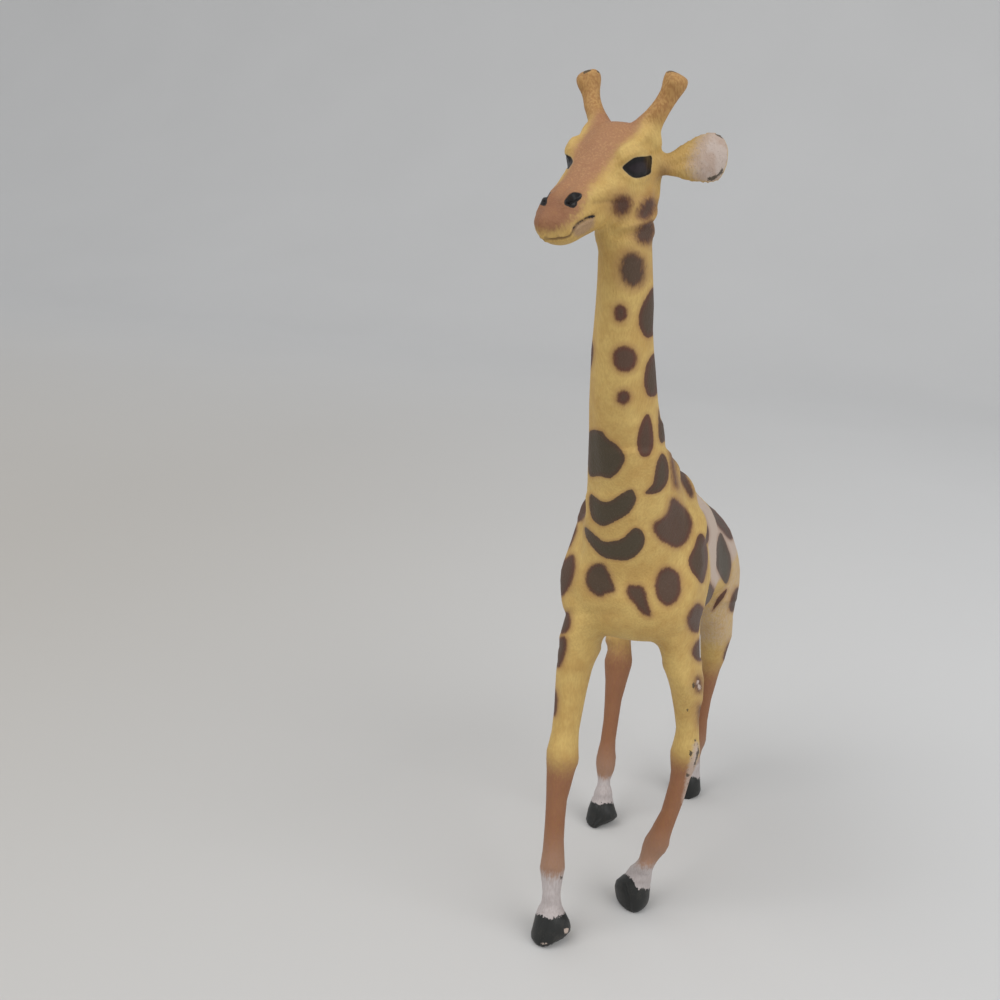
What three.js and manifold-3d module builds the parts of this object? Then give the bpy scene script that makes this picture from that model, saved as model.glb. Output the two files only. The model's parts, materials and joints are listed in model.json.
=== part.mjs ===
// Toy giraffe in painted PVC, walking, with its head turned a little to its right.
// Millimetres, +Z up. The animal faces -Y, its left side is +X, and its soles stand on Z = 0.
// It comes apart into the mouldings that are glued together: torso, neck, head, horns, ears, legs and tail.
// Each glued joint is a level or slanted cut through the limb, with a peg on the limb and a socket under it.

import * as THREE from "three";
import { mergeVertices } from "three/addons/utils/BufferGeometryUtils.js";
import Module from "manifold-3d";

const wasm = await Module();
wasm.setup();

// Fits that all the glued joints share
const fit = {
  glueGap: 0.3, // left between the two faces of a joint
  pegClearance: 0.15, // around a peg, on the radius
  socketExtra: 0.6, // how much deeper a socket is than its peg is long
  pegRoot: 1, // how far a peg is rooted in its own piece
  cutReach: 500, // size of the block that cuts a joint, larger than the whole animal
  pegSides: 10,
};

// The torso runs from the breast to the buttocks
const torso = {
  length: 111,
  width: 41,
  depth: 48, // from the breastbone to the withers
  breastHeight: 93, // breastbone above the ground
  breastForward: 57, // breast in front of the middle of the back
  sides: 24,
  steps: 2,
};

// How far the torso's section is from an ellipse towards a box: 1 is an ellipse
const torsoRoundShare = 0.86;

// Along the torso, height of the ring's widest place over the breastbone,
// half width, size above that place, size under it
const torsoRingShares = [
  [0.0, 0.44, 0.02, 0.02, 0.02],
  [0.018, 0.42, 0.22, 0.2, 0.155],
  [0.063, 0.38, 0.38, 0.36, 0.245],
  [0.126, 0.345, 0.465, 0.54, 0.26],
  [0.2, 0.31, 0.49, 0.68, 0.24],
  [0.29, 0.28, 0.465, 0.73, 0.25],
  [0.405, 0.23, 0.43, 0.73, 0.25],
  [0.51, 0.19, 0.42, 0.665, 0.24],
  [0.62, 0.155, 0.43, 0.595, 0.22],
  [0.73, 0.135, 0.445, 0.51, 0.2],
  [0.83, 0.105, 0.435, 0.425, 0.19],
  [0.92, 0.075, 0.355, 0.31, 0.165],
  [0.973, 0.05, 0.21, 0.19, 0.135],
  [0.993, 0.04, 0.09, 0.085, 0.06],
  [1.0, 0.04, 0.02, 0.02, 0.02],
];

// The neck rises and leans forward from inside the shoulders to the poll
const neck = {
  length: 110,
  width: 13.4, // of the slim upper half
  depth: 15, // of the slim upper half, throat to nape
  rootForward: -21, // from the breast, so behind it
  rootHeight: 22, // over the breastbone
  lean: 25, // degrees forward from upright
  seamAlong: 34, // from the root to the joint with the torso
  maneHeight: 1.8, // how far the mane stands out of the nape
  maneSharpness: 30, // the higher, the narrower the mane
  sides: 22,
  steps: 2,
  peg: { radius: 5, length: 9 },
};

// Along the neck, bow towards the throat, half width, size towards the throat, size towards the nape
const neckRingShares = [
  [0.0, 0.0, 1.22, 1.25, 1.75],
  [0.11, 0.005, 1.14, 1.13, 1.72],
  [0.22, 0.015, 0.97, 0.98, 1.42],
  [0.335, 0.025, 0.82, 0.84, 0.94],
  [0.49, 0.046, 0.64, 0.64, 0.66],
  [0.6, 0.053, 0.55, 0.56, 0.56],
  [0.695, 0.048, 0.51, 0.515, 0.515],
  [0.785, 0.041, 0.49, 0.5, 0.49],
  [0.91, 0.024, 0.49, 0.49, 0.49],
  [1.0, 0.006, 0.44, 0.42, 0.42],
];

// The head is laid out about the point between its eyes, level and facing -Y, and is then turned
const head = {
  length: 35.6,
  width: 18,
  depth: 21, // crown to jaw
  napeBehind: 15, // nape behind the eyes
  eyesAside: 4.6, // eyes to the right of the torso's middle plane
  eyesForward: 4.1, // eyes in front of the neck's end
  eyesHeight: 4.7, // eyes over the neck's end
  turn: 16.3, // degrees to the animal's right
  tilt: 3.1, // degrees that the left side hangs
  seamForward: -3, // joint with the neck, from the neck's end
  seamHeight: -11.7, // the same, so under the neck's end and the jaw
  sides: 20,
  steps: 2,
  swellingSides: 10,
  swellingRows: 8,
  peg: { radius: 3.4, length: 6 },
};

// Along the head from the nape, height of the widest place over the eyes,
// half width, size above that place, size under it
const headRingShares = [
  [0.0, 0.0, 0.02, 0.02, 0.02],
  [0.025, 0.0, 0.22, 0.22, 0.24],
  [0.09, 0.0, 0.39, 0.385, 0.42],
  [0.2, -0.01, 0.46, 0.44, 0.52],
  [0.32, -0.02, 0.475, 0.45, 0.555],
  [0.42, -0.04, 0.46, 0.4, 0.575],
  [0.52, -0.15, 0.4, 0.34, 0.52],
  [0.62, -0.31, 0.335, 0.26, 0.43],
  [0.73, -0.47, 0.3, 0.215, 0.31],
  [0.84, -0.56, 0.285, 0.19, 0.225],
  [0.92, -0.6, 0.23, 0.15, 0.165],
  [0.978, -0.62, 0.13, 0.085, 0.095],
  [1.0, -0.61, 0.02, 0.02, 0.02],
];

// Crown over the eyes, as a share of the head's depth
const headCrownShare = 0.43;

// Swellings on the head, each given as place and size in shares of the head's width
const headSwellingShares = [
  { side: 0.37, forward: -0.02, up: 0.13, across: 0.14, along: 0.27, high: 0.14 },
  { side: 0.33, forward: -0.4, up: -0.3, across: 0.13, along: 0.34, high: 0.3 },
  { side: 0.15, forward: 0.74, up: -0.5, across: 0.12, along: 0.2, high: 0.1 },
];

const horn = {
  length: 11.4, // beyond its joint with the head
  waistRadius: 1.9,
  knobRadius: 2.8,
  apart: 11, // between the two roots
  splay: 24, // degrees outwards from upright
  behindEyes: 5.5,
  rootUp: -2.8, // from the crown, so under it
  seamAlong: 3.2, // from the root to the joint
  sides: 12,
  steps: 2,
  peg: { radius: 1, length: 3 },
};

// Along the horn from its joint, and the radius as a share of the way from the waist's to the knob's
const hornRingShares = [
  [-0.3, 2.1],
  [-0.05, 0.95],
  [0.12, 0.4],
  [0.32, 0.05],
  [0.5, 0.0],
  [0.64, 0.25],
  [0.76, 0.78],
  [0.86, 1.0],
  [0.94, 0.8],
  [0.985, 0.05],
];

const ear = {
  length: 15.6,
  width: 11,
  thickness: 2.2,
  cup: 1.7, // how deep the inner side is hollowed
  rootAside: -1.8, // from the side of the head, so inside it
  behindEyes: 9,
  rootUp: 1.2,
  sweep: 40, // degrees backwards
  lift: 13, // degrees upwards
  seamAlong: 2.4, // from the root to the joint
  sides: 14,
  steps: 2,
  peg: { radius: 0.8, length: 2.4 },
};

// Along the ear from its root, half width, half thickness, cup
const earRingShares = [
  [0.0, 0.2, 1.0, 0.0],
  [0.14, 0.2, 0.85, 0.1],
  [0.3, 0.27, 0.62, 0.5],
  [0.46, 0.38, 0.5, 0.9],
  [0.62, 0.475, 0.45, 1.0],
  [0.76, 0.5, 0.42, 0.9],
  [0.87, 0.44, 0.4, 0.6],
  [0.95, 0.29, 0.38, 0.3],
  [0.99, 0.13, 0.3, 0.1],
];

const tail = {
  length: 58,
  tuftRadius: 2.7,
  rootForward: 4, // in front of the torso's rear end
  rootHeight: 8, // over the breastbone
  reach: 13, // how far the tip is behind the root
  seamAlong: 9, // from the root down to the joint
  sides: 10,
  steps: 2,
  peg: { radius: 0.8, length: 3 },
};

// Along the tail from its root, share of the reach, radius as a share of the tuft's
const tailRingShares = [
  [0.0, 0.0, 0.96],
  [0.1, 0.42, 0.9],
  [0.2, 0.72, 0.62],
  [0.34, 0.9, 0.53],
  [0.5, 0.98, 0.5],
  [0.62, 1.0, 0.55],
  [0.72, 1.0, 0.8],
  [0.82, 0.98, 1.0],
  [0.91, 0.96, 0.85],
  [0.98, 0.94, 0.35],
  [1.0, 0.94, 0.05],
];

// What the four legs share
const leg = {
  seamHeight: 87, // level joint with the torso, under the belly
  foreTopForward: -23, // top of the right fore leg from the breast, so behind it
  foreTopHeight: 33, // over the breastbone
  hindTopForward: 17, // top of the hind legs in front of the torso's rear end
  hindTopHeight: 18, // over the breastbone
  sides: 14,
  steps: 2,
  peg: { radius: 2.8, length: 5 },
};

// Sizes of each leg. The fore leg that carries the weight is the stouter one.
const legSizes = {
  leg_front_right: { kneeWidth: 9.2, soleWidth: 11.6 },
  leg_front_left: { kneeWidth: 8.4, soleWidth: 11.2 },
  leg_hind_right: { kneeWidth: 8.4, soleWidth: 10.6 },
  leg_hind_left: { kneeWidth: 8.4, soleWidth: 10.6 },
};

// Down a fore leg: which of its places the ring follows, share of the way to the next place,
// half width and half depth as shares of the knee's width
const foreLegRingShares = [
  ["top", 0.0, 0.4, 0.75],
  ["top", 0.5, 0.74, 1.15],
  ["shoulder", 0.0, 0.84, 1.42],
  ["shoulder", 0.5, 0.67, 1.2],
  ["elbow", 0.0, 0.55, 0.9],
  ["elbow", 0.45, 0.49, 0.68],
  ["elbow", 0.8, 0.47, 0.56],
  ["knee", 0.0, 0.5, 0.55],
  ["knee", 0.14, 0.46, 0.5],
  ["knee", 0.32, 0.38, 0.42],
  ["knee", 0.66, 0.35, 0.4],
  ["knee", 0.86, 0.37, 0.43],
  ["fetlock", 0.0, 0.4, 0.46],
  ["fetlock", 0.55, 0.33, 0.38],
];

// The same down a hind leg, with its hock as the knee
const hindLegRingShares = [
  ["top", 0.0, 0.5, 0.9],
  ["top", 0.5, 0.8, 1.5],
  ["shoulder", 0.0, 0.94, 1.72],
  ["shoulder", 0.5, 0.88, 1.56],
  ["elbow", 0.0, 0.76, 1.22],
  ["elbow", 0.45, 0.62, 0.9],
  ["elbow", 0.8, 0.5, 0.7],
  ["knee", 0.0, 0.46, 0.64],
  ["knee", 0.14, 0.4, 0.54],
  ["knee", 0.34, 0.32, 0.42],
  ["knee", 0.66, 0.31, 0.39],
  ["knee", 0.86, 0.35, 0.42],
  ["fetlock", 0.0, 0.41, 0.48],
  ["fetlock", 0.55, 0.36, 0.43],
];

// The hoof, from its top to its sole: half width, toe and heel as shares of the sole's width
const hoofRingShares = [
  ["hoof", 0.0, 0.4, 0.45, 0.42],
  ["hoof", 0.4, 0.47, 0.52, 0.47],
  ["hoof", 0.85, 0.5, 0.53, 0.49],
  ["sole", 0.0, 0.49, 0.52, 0.48],
];

// Where each leg's places are in the walk: to the left of the middle plane as a share of the torso's width,
// in front of the leg's top, and above the ground, as shares of the height of that top
const legPlaceShares = {
  leg_front_right: {
    top: { side: -0.2317, forward: 0, height: 1 },
    shoulder: { side: -0.2878, forward: 0.0476, height: 0.8492 },
    elbow: { side: -0.2976, forward: 0.0754, height: 0.6825 },
    knee: { side: -0.3195, forward: 0.1071, height: 0.4841 },
    fetlock: { side: -0.2976, forward: 0.127, height: 0.1349 },
    hoof: { side: -0.278, forward: 0.1302, height: 0.0635 },
    sole: { side: -0.2634, forward: 0.1317, height: 0 },
  },
  leg_front_left: {
    top: { side: 0.2317, forward: -0.0317, height: 1 },
    shoulder: { side: 0.2927, forward: 0.0159, height: 0.8492 },
    elbow: { side: 0.4122, forward: 0.0079, height: 0.6825 },
    knee: { side: 0.4732, forward: -0.0397, height: 0.4841 },
    fetlock: { side: 0.3024, forward: -0.0675, height: 0.1508 },
    hoof: { side: 0.2122, forward: -0.081, height: 0.0675 },
    sole: { side: 0.1805, forward: -0.0873, height: 0 },
  },
  leg_hind_right: {
    top: { side: -0.2317, forward: 0, height: 1 },
    shoulder: { side: -0.2683, forward: 0, height: 0.8739 },
    elbow: { side: -0.3756, forward: 0.027, height: 0.7117 },
    knee: { side: -0.4, forward: 0.0991, height: 0.4865 },
    fetlock: { side: -0.3951, forward: 0.1667, height: 0.1126 },
    hoof: { side: -0.3732, forward: 0.1766, height: 0.0676 },
    sole: { side: -0.361, forward: 0.1829, height: 0 },
  },
  leg_hind_left: {
    top: { side: 0.2317, forward: 0, height: 1 },
    shoulder: { side: 0.2683, forward: -0.009, height: 0.8739 },
    elbow: { side: 0.3024, forward: -0.045, height: 0.7117 },
    knee: { side: 0.2927, forward: -0.1171, height: 0.4865 },
    fetlock: { side: 0.2634, forward: -0.1577, height: 0.1126 },
    hoof: { side: 0.2561, forward: -0.1532, height: 0.0676 },
    sole: { side: 0.2537, forward: -0.1477, height: 0 },
  },
};

// Paints, as they show on each moulding
const paint = {
  coat: { color: 0xcfae62, roughness: 0.5, metalness: 0 },
  face: { color: 0xc59a72, roughness: 0.5, metalness: 0 },
  horn: { color: 0xc28f4c, roughness: 0.5, metalness: 0 },
  earShell: { color: 0xd9c0a8, roughness: 0.55, metalness: 0 },
  shank: { color: 0xa9764f, roughness: 0.5, metalness: 0 },
  tuft: { color: 0x4a3028, roughness: 0.5, metalness: 0 },
};

const across = new THREE.Vector3(1, 0, 0);
const ahead = new THREE.Vector3(0, -1, 0);
const upright = new THREE.Vector3(0, 0, 1);

// A place given as side, forward and height becomes a point of the model
function placeAt(side, forward, height) {
  return new THREE.Vector3(side, -forward, height);
}

// Rows of numbers, with smooth rows put between them on a Catmull-Rom curve
function smoothRows(rows, steps) {
  const last = rows.length - 1;
  const result = [];
  for (let i = 0; i < last; i += 1) {
    const [a, b, c, d] = [rows[Math.max(i - 1, 0)], rows[i], rows[i + 1], rows[Math.min(i + 2, last)]];
    for (let step = 0; step < steps; step += 1) {
      const t = step / steps;
      result.push(b.map((value, k) => {
        const slopeIn = (c[k] - a[k]) / 2;
        const slopeOut = (d[k] - value) / 2;
        const rise = c[k] - value;
        return value + t * slopeIn + t * t * (3 * rise - 2 * slopeIn - slopeOut)
          + t * t * t * (slopeIn + slopeOut - 2 * rise);
      }));
    }
  }
  result.push(rows[last]);
  return result;
}

// The row of a table at a value of its first column, which rises
function rowAt(rows, share) {
  const upper = rows.findIndex((row) => row[0] >= share);
  const [low, high] = [rows[upper - 1], rows[upper]];
  const part = (share - low[0]) / (high[0] - low[0]);
  return low.map((value, k) => value + part * (high[k] - value));
}

// A closed skin over rings. A ring has a centre, the directions of its width and of its front,
// and its half width, front, back and cup. A mane, if there is one, stands out at the back.
function loft(rings, sides, mane = { height: 0, sharpness: 0 }, round = 1) {
  const points = [];
  const boxed = (value) => Math.sign(value) * Math.abs(value) ** round;
  for (const ring of rings) {
    for (let side = 0; side < sides; side += 1) {
      const angle = (side / sides) * 2 * Math.PI;
      const [cosine, sine] = [boxed(Math.cos(angle)), boxed(Math.sin(angle))];
      const crest = mane.height * Math.exp(-mane.sharpness * (1 + sine));
      const out = sine > 0 ? ring.front * sine : ring.back * sine - crest;
      points.push(
        ring.centre.clone()
          .addScaledVector(ring.wide, ring.half * cosine)
          .addScaledVector(ring.fore, out - ring.cup * sine * sine),
      );
    }
  }
  const first = points.length;
  points.push(rings[0].centre.clone(), rings[rings.length - 1].centre.clone());
  const index = [];
  for (let side = 0; side < sides; side += 1) {
    const next = (side + 1) % sides;
    for (let i = 0; i + 1 < rings.length; i += 1) {
      const [a, b] = [i * sides + side, i * sides + next];
      const [c, d] = [a + sides, b + sides];
      index.push(a, b, d, a, d, c);
    }
    const end = (rings.length - 1) * sides;
    index.push(first, next, side, first + 1, end + side, end + next);
  }
  const geometry = new THREE.BufferGeometry();
  geometry.setAttribute("position", new THREE.Float32BufferAttribute(points.flatMap((p) => p.toArray()), 3));
  geometry.setIndex(index);
  return geometry;
}

// A closed triangle mesh as a solid that can be cut and joined. A skin wound inwards is turned.
function solidFrom(geometry) {
  const bare = new THREE.BufferGeometry();
  bare.setAttribute("position", geometry.getAttribute("position"));
  bare.setIndex(geometry.getIndex());
  const merged = mergeVertices(bare);
  const vertices = merged.getAttribute("position");
  const triangles = merged.getIndex().array;
  let volume = 0;
  const corner = [new THREE.Vector3(), new THREE.Vector3(), new THREE.Vector3()];
  for (let i = 0; i < triangles.length; i += 3) {
    corner.forEach((point, k) => point.fromBufferAttribute(vertices, triangles[i + k]));
    volume += corner[0].dot(corner[1].clone().cross(corner[2]));
  }
  const triVerts = Uint32Array.from(triangles);
  if (volume < 0) {
    triVerts.reverse();
  }
  const vertProperties = Float32Array.from(vertices.array);
  return new wasm.Manifold(new wasm.Mesh({ numProp: 3, vertProperties, triVerts }));
}

function geometryFrom(solid) {
  const mesh = solid.getMesh();
  const geometry = new THREE.BufferGeometry();
  geometry.setAttribute("position", new THREE.Float32BufferAttribute(mesh.vertProperties, 3));
  geometry.setIndex(Array.from(mesh.triVerts));
  return geometry;
}

// The half of space beyond a joint: a large block whose face lies at the joint, moved out by a distance
function beyond(seam, distance) {
  const block = new THREE.BoxGeometry(fit.cutReach, fit.cutReach, fit.cutReach);
  const turn = new THREE.Quaternion().setFromUnitVectors(upright, seam.normal);
  const centre = seam.point.clone().addScaledVector(seam.normal, distance + fit.cutReach / 2);
  block.applyQuaternion(turn).translate(centre.x, centre.y, centre.z);
  return solidFrom(block);
}

// A round peg across a joint, from inside its own piece to its tip
function pegAt(seam, radius, from, to) {
  const peg = new THREE.CylinderGeometry(radius, radius, from - to, fit.pegSides);
  const turn = new THREE.Quaternion().setFromUnitVectors(new THREE.Vector3(0, 1, 0), seam.normal);
  const centre = seam.point.clone().addScaledVector(seam.normal, (from + to) / 2);
  peg.applyQuaternion(turn).translate(centre.x, centre.y, centre.z);
  return solidFrom(peg);
}

// A limb is cut at its joint. Its outer end, with a peg, is the piece itself.
// Its inner end is the stub that its carrier is moulded with, and the socket is what the peg needs there.
function splitLimb(limb, seam, peg) {
  const half = fit.glueGap / 2;
  const piece = limb.intersect(beyond(seam, half))
    .add(pegAt(seam, peg.radius, fit.pegRoot + half, -peg.length));
  const stub = limb.subtract(beyond(seam, -half));
  const socket = pegAt(seam, peg.radius + fit.pegClearance, half, -(peg.length + fit.socketExtra));
  return { piece, stub, socket };
}

// What a limb, thicker by the glue gap, takes of its carrier beyond the joint
function roomFor(limb, seam) {
  return limb.intersect(beyond(seam, -fit.glueGap / 2));
}

function torsoBody() {
  const rings = smoothRows(torsoRingShares, torso.steps).map(([along, rise, half, over, under]) => ({
    centre: placeAt(0, torso.breastForward - along * torso.length, torso.breastHeight + rise * torso.depth),
    wide: across,
    fore: upright,
    half: half * torso.width,
    front: over * torso.depth,
    back: under * torso.depth,
    cup: 0,
  }));
  return solidFrom(loft(rings, torso.sides, undefined, torsoRoundShare));
}

const neckRoot = placeAt(0, torso.breastForward + neck.rootForward, torso.breastHeight + neck.rootHeight);
const neckAxis = upright.clone().applyAxisAngle(across, THREE.MathUtils.degToRad(neck.lean));
const neckFront = ahead.clone().applyAxisAngle(across, THREE.MathUtils.degToRad(neck.lean));
const neckEnd = neckRoot.clone().addScaledVector(neckAxis, neck.length);

function neckLimb() {
  const rings = smoothRows(neckRingShares, neck.steps).map(([along, bow, half, throat, nape]) => ({
    centre: neckRoot.clone()
      .addScaledVector(neckAxis, along * neck.length)
      .addScaledVector(neckFront, bow * neck.length),
    wide: across,
    fore: neckFront,
    half: half * neck.width,
    front: throat * neck.depth,
    back: nape * neck.depth,
    cup: 0,
  }));
  return solidFrom(loft(rings, neck.sides, { height: neck.maneHeight, sharpness: neck.maneSharpness }));
}

// Turns the head's own layout, centred between the eyes, to its place on the animal
const headPlace = new THREE.Matrix4().compose(
  neckEnd.clone().add(placeAt(-head.eyesAside, head.eyesForward, head.eyesHeight)),
  new THREE.Quaternion().setFromEuler(new THREE.Euler(
    0,
    THREE.MathUtils.degToRad(head.tilt),
    -THREE.MathUtils.degToRad(head.turn),
    "ZYX",
  )),
  new THREE.Vector3(1, 1, 1),
);

function onHead(side, forward, height) {
  return placeAt(side, forward, height).applyMatrix4(headPlace);
}

function headDirection(direction) {
  return direction.clone().transformDirection(headPlace);
}

function headBody() {
  const rings = smoothRows(headRingShares, head.steps).map(([along, rise, half, over, under]) => ({
    centre: onHead(0, along * head.length - head.napeBehind, rise * head.depth),
    wide: headDirection(across),
    fore: headDirection(upright),
    half: half * head.width,
    front: over * head.depth,
    back: under * head.depth,
    cup: 0,
  }));
  let body = solidFrom(loft(rings, head.sides));
  for (const swelling of headSwellingShares) {
    for (const side of [swelling.side, -swelling.side]) {
      const ball = new THREE.SphereGeometry(head.width, head.swellingSides, head.swellingRows);
      ball.scale(swelling.across, swelling.along, swelling.high);
      ball.translate(side * head.width, -swelling.forward * head.width, swelling.up * head.width);
      ball.applyMatrix4(headPlace);
      body = body.add(solidFrom(ball));
    }
  }
  return body;
}

// Rings along a straight limb from its root, each as along, half width, half thickness and cup
function straightLimb(root, axis, wide, rows, sides) {
  const fore = wide.clone().cross(axis).normalize();
  const rings = rows.map(([along, half, thick, cup]) => ({
    centre: root.clone().addScaledVector(axis, along),
    wide,
    fore,
    half,
    front: thick,
    back: thick,
    cup,
  }));
  return solidFrom(loft(rings, sides));
}

function hornLimb(side) {
  const axis = headDirection(upright.clone().applyAxisAngle(ahead, side * THREE.MathUtils.degToRad(-horn.splay)));
  const rootUp = headCrownShare * head.depth + horn.rootUp;
  const root = onHead(side * horn.apart / 2, -horn.behindEyes, rootUp);
  const wide = headDirection(ahead).cross(axis).normalize();
  const grow = horn.knobRadius - horn.waistRadius;
  const rows = smoothRows(hornRingShares, horn.steps).map(([along, share]) => {
    const radius = horn.waistRadius + share * grow;
    return [horn.seamAlong + along * horn.length, radius, radius, 0];
  });
  const seam = { point: root.clone().addScaledVector(axis, horn.seamAlong), normal: axis };
  return { limb: straightLimb(root, axis, wide, rows, horn.sides), seam };
}

function earLimb(side) {
  const axis = new THREE.Vector3(1, 0, 0)
    .applyAxisAngle(ahead, THREE.MathUtils.degToRad(ear.lift))
    .applyAxisAngle(upright, THREE.MathUtils.degToRad(ear.sweep));
  axis.x *= side;
  const wide = upright.clone().addScaledVector(axis, -upright.dot(axis)).normalize().multiplyScalar(side);
  const worldAxis = headDirection(axis);
  const root = onHead(side * (head.width / 2 + ear.rootAside), -ear.behindEyes, ear.rootUp);
  const rows = smoothRows(earRingShares, ear.steps).map(([along, half, thick, cup]) => [
    along * ear.length,
    half * ear.width,
    thick * ear.thickness,
    cup * ear.cup,
  ]);
  const seam = { point: root.clone().addScaledVector(worldAxis, ear.seamAlong), normal: worldAxis };
  return { limb: straightLimb(root, worldAxis, headDirection(wide), rows, ear.sides), seam };
}

// A point of the tail's middle line, by shares of its length and of its reach
function onTail(along, reach) {
  const rootForward = torso.breastForward - torso.length + tail.rootForward;
  const rootHeight = torso.breastHeight + tail.rootHeight;
  return placeAt(0, rootForward - reach * tail.reach, rootHeight - along * tail.length);
}

// The tail, thicker all round by an extra
function tailLimb(extra = 0) {
  const rings = smoothRows(tailRingShares, tail.steps).map(([along, reach, share]) => {
    const radius = share * tail.tuftRadius + extra;
    const centre = onTail(along, reach);
    return { centre, wide: across, fore: ahead, half: radius, front: radius, back: radius, cup: 0 };
  });
  return solidFrom(loft(rings, tail.sides));
}

// The tail's joint is square to the tail, and so is its peg
function tailSeam() {
  const [above, at, below] = [-tail.peg.length, 0, tail.peg.length].map((step) => {
    const [along, reach] = rowAt(tailRingShares, (tail.seamAlong + step) / tail.length);
    return onTail(along, reach);
  });
  return { point: at, normal: below.sub(above).normalize() };
}

// A leg's places in real sizes
function legPlaces(name) {
  const fore = name.includes("front");
  const foreTop = torso.breastForward + leg.foreTopForward;
  const hindTop = torso.breastForward - torso.length + leg.hindTopForward;
  const topHeight = torso.breastHeight + (fore ? leg.foreTopHeight : leg.hindTopHeight);
  return Object.fromEntries(Object.entries(legPlaceShares[name]).map(([key, share]) => [key, {
    side: share.side * torso.width,
    forward: (fore ? foreTop : hindTop) + share.forward * topHeight,
    height: share.height * topHeight,
  }]));
}

// A leg's rings are level, so that its sole and its joint are too. It is thicker all round by an extra.
function legLimb(places, ringShares, sizes, extra = 0) {
  const names = Object.keys(places);
  const spot = ([name, share]) => {
    const here = places[name];
    const next = places[names[Math.min(names.indexOf(name) + 1, names.length - 1)]];
    return ["side", "forward", "height"].map((key) => here[key] + share * (next[key] - here[key]));
  };
  const shank = ringShares.map((row) => [
    ...spot(row),
    row[2] * sizes.kneeWidth + extra,
    row[3] * sizes.kneeWidth + extra,
    row[3] * sizes.kneeWidth + extra,
  ]);
  const hoof = hoofRingShares.map((row) => [
    ...spot(row),
    row[2] * sizes.soleWidth + extra,
    row[3] * sizes.soleWidth + extra,
    row[4] * sizes.soleWidth + extra,
  ]);
  const rings = smoothRows([...shank, ...hoof], leg.steps).map(([side, forward, height, half, toe, heel]) => ({
    centre: placeAt(side, forward, height),
    wide: across,
    fore: ahead,
    half,
    front: toe,
    back: heel,
    cup: 0,
  }));
  return solidFrom(loft(rings, leg.sides));
}

// The level joint of a leg, with its peg midway between the leg's places above and below it
function legSeam(places) {
  const rows = Object.values(places).map((place) => [place.height, place.side, place.forward]).reverse();
  const [height, side, forward] = rowAt(rows, leg.seamHeight);
  return { point: placeAt(side, forward, height), normal: upright.clone().negate() };
}

function buildMouldings() {
  const mouldings = {};
  let trunk = torsoBody();
  let skull = headBody();
  const trunkSockets = [];
  const skullSockets = [];

  for (const name of Object.keys(legPlaceShares)) {
    const ringShares = name.includes("front") ? foreLegRingShares : hindLegRingShares;
    const places = legPlaces(name);
    const seam = legSeam(places);
    const { piece, stub, socket } = splitLimb(legLimb(places, ringShares, legSizes[name]), seam, leg.peg);
    mouldings[name] = { solid: piece, paint: paint.shank };
    trunk = trunk.add(stub);
    trunkSockets.push(socket, roomFor(legLimb(places, ringShares, legSizes[name], fit.glueGap), seam));
  }

  const tailSplit = splitLimb(tailLimb(), tailSeam(), tail.peg);
  mouldings.tail = { solid: tailSplit.piece, paint: paint.tuft };
  trunk = trunk.add(tailSplit.stub);
  trunkSockets.push(tailSplit.socket, roomFor(tailLimb(fit.glueGap), tailSeam()));

  const neckSeam = { point: neckRoot.clone().addScaledVector(neckAxis, neck.seamAlong), normal: neckAxis };
  const neckSplit = splitLimb(neckLimb(), neckSeam, neck.peg);
  trunk = trunk.add(neckSplit.stub);
  trunkSockets.push(neckSplit.socket);

  const headSeamPoint = neckEnd.clone().add(placeAt(0, head.seamForward, head.seamHeight));
  const headSeam = { point: headSeamPoint, normal: neckAxis };
  const half = fit.glueGap / 2;
  const neckTop = neckSplit.piece.intersect(beyond(headSeam, half));
  const headPeg = pegAt(headSeam, head.peg.radius, head.peg.length, -fit.pegRoot - half);
  const headSocket = pegAt(
    headSeam,
    head.peg.radius + fit.pegClearance,
    head.peg.length + fit.socketExtra,
    -half,
  );
  mouldings.neck = {
    solid: neckSplit.piece.subtract(beyond(headSeam, -half)).add(headPeg),
    paint: paint.coat,
  };
  skull = skull.add(neckTop);
  skullSockets.push(headSocket);

  for (const [name, side] of [["left", 1], ["right", -1]]) {
    const { limb, seam } = hornLimb(side);
    const hornSplit = splitLimb(limb, seam, horn.peg);
    mouldings[`horn_${name}`] = { solid: hornSplit.piece, paint: paint.horn };
    skull = skull.add(hornSplit.stub);
    skullSockets.push(hornSplit.socket);

    const earParts = earLimb(side);
    const earSplit = splitLimb(earParts.limb, earParts.seam, ear.peg);
    mouldings[`ear_${name}`] = { solid: earSplit.piece, paint: paint.earShell };
    skull = skull.add(earSplit.stub);
    skullSockets.push(earSplit.socket);
  }

  for (const socket of trunkSockets) {
    trunk = trunk.subtract(socket);
  }
  for (const socket of skullSockets) {
    skull = skull.subtract(socket);
  }
  mouldings.torso = { solid: trunk, paint: paint.coat };
  mouldings.head = { solid: skull, paint: paint.face };
  return mouldings;
}

const giraffe = new THREE.Group();
for (const [name, moulding] of Object.entries(buildMouldings())) {
  const mesh = new THREE.Mesh(geometryFrom(moulding.solid), new THREE.MeshStandardMaterial(moulding.paint));
  mesh.name = name;
  giraffe.add(mesh);
}

// The origin is on the ground under the middle of the whole animal
const extent = new THREE.Box3().setFromObject(giraffe);
const middle = extent.getCenter(new THREE.Vector3());
giraffe.position.set(-middle.x, -middle.y, -extent.min.z);

export default giraffe;
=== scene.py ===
import json
import math

import bpy
import numpy as np
from mathutils import Matrix, Vector
from mathutils.bvhtree import BVHTree
from mathutils.kdtree import KDTree

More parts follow.
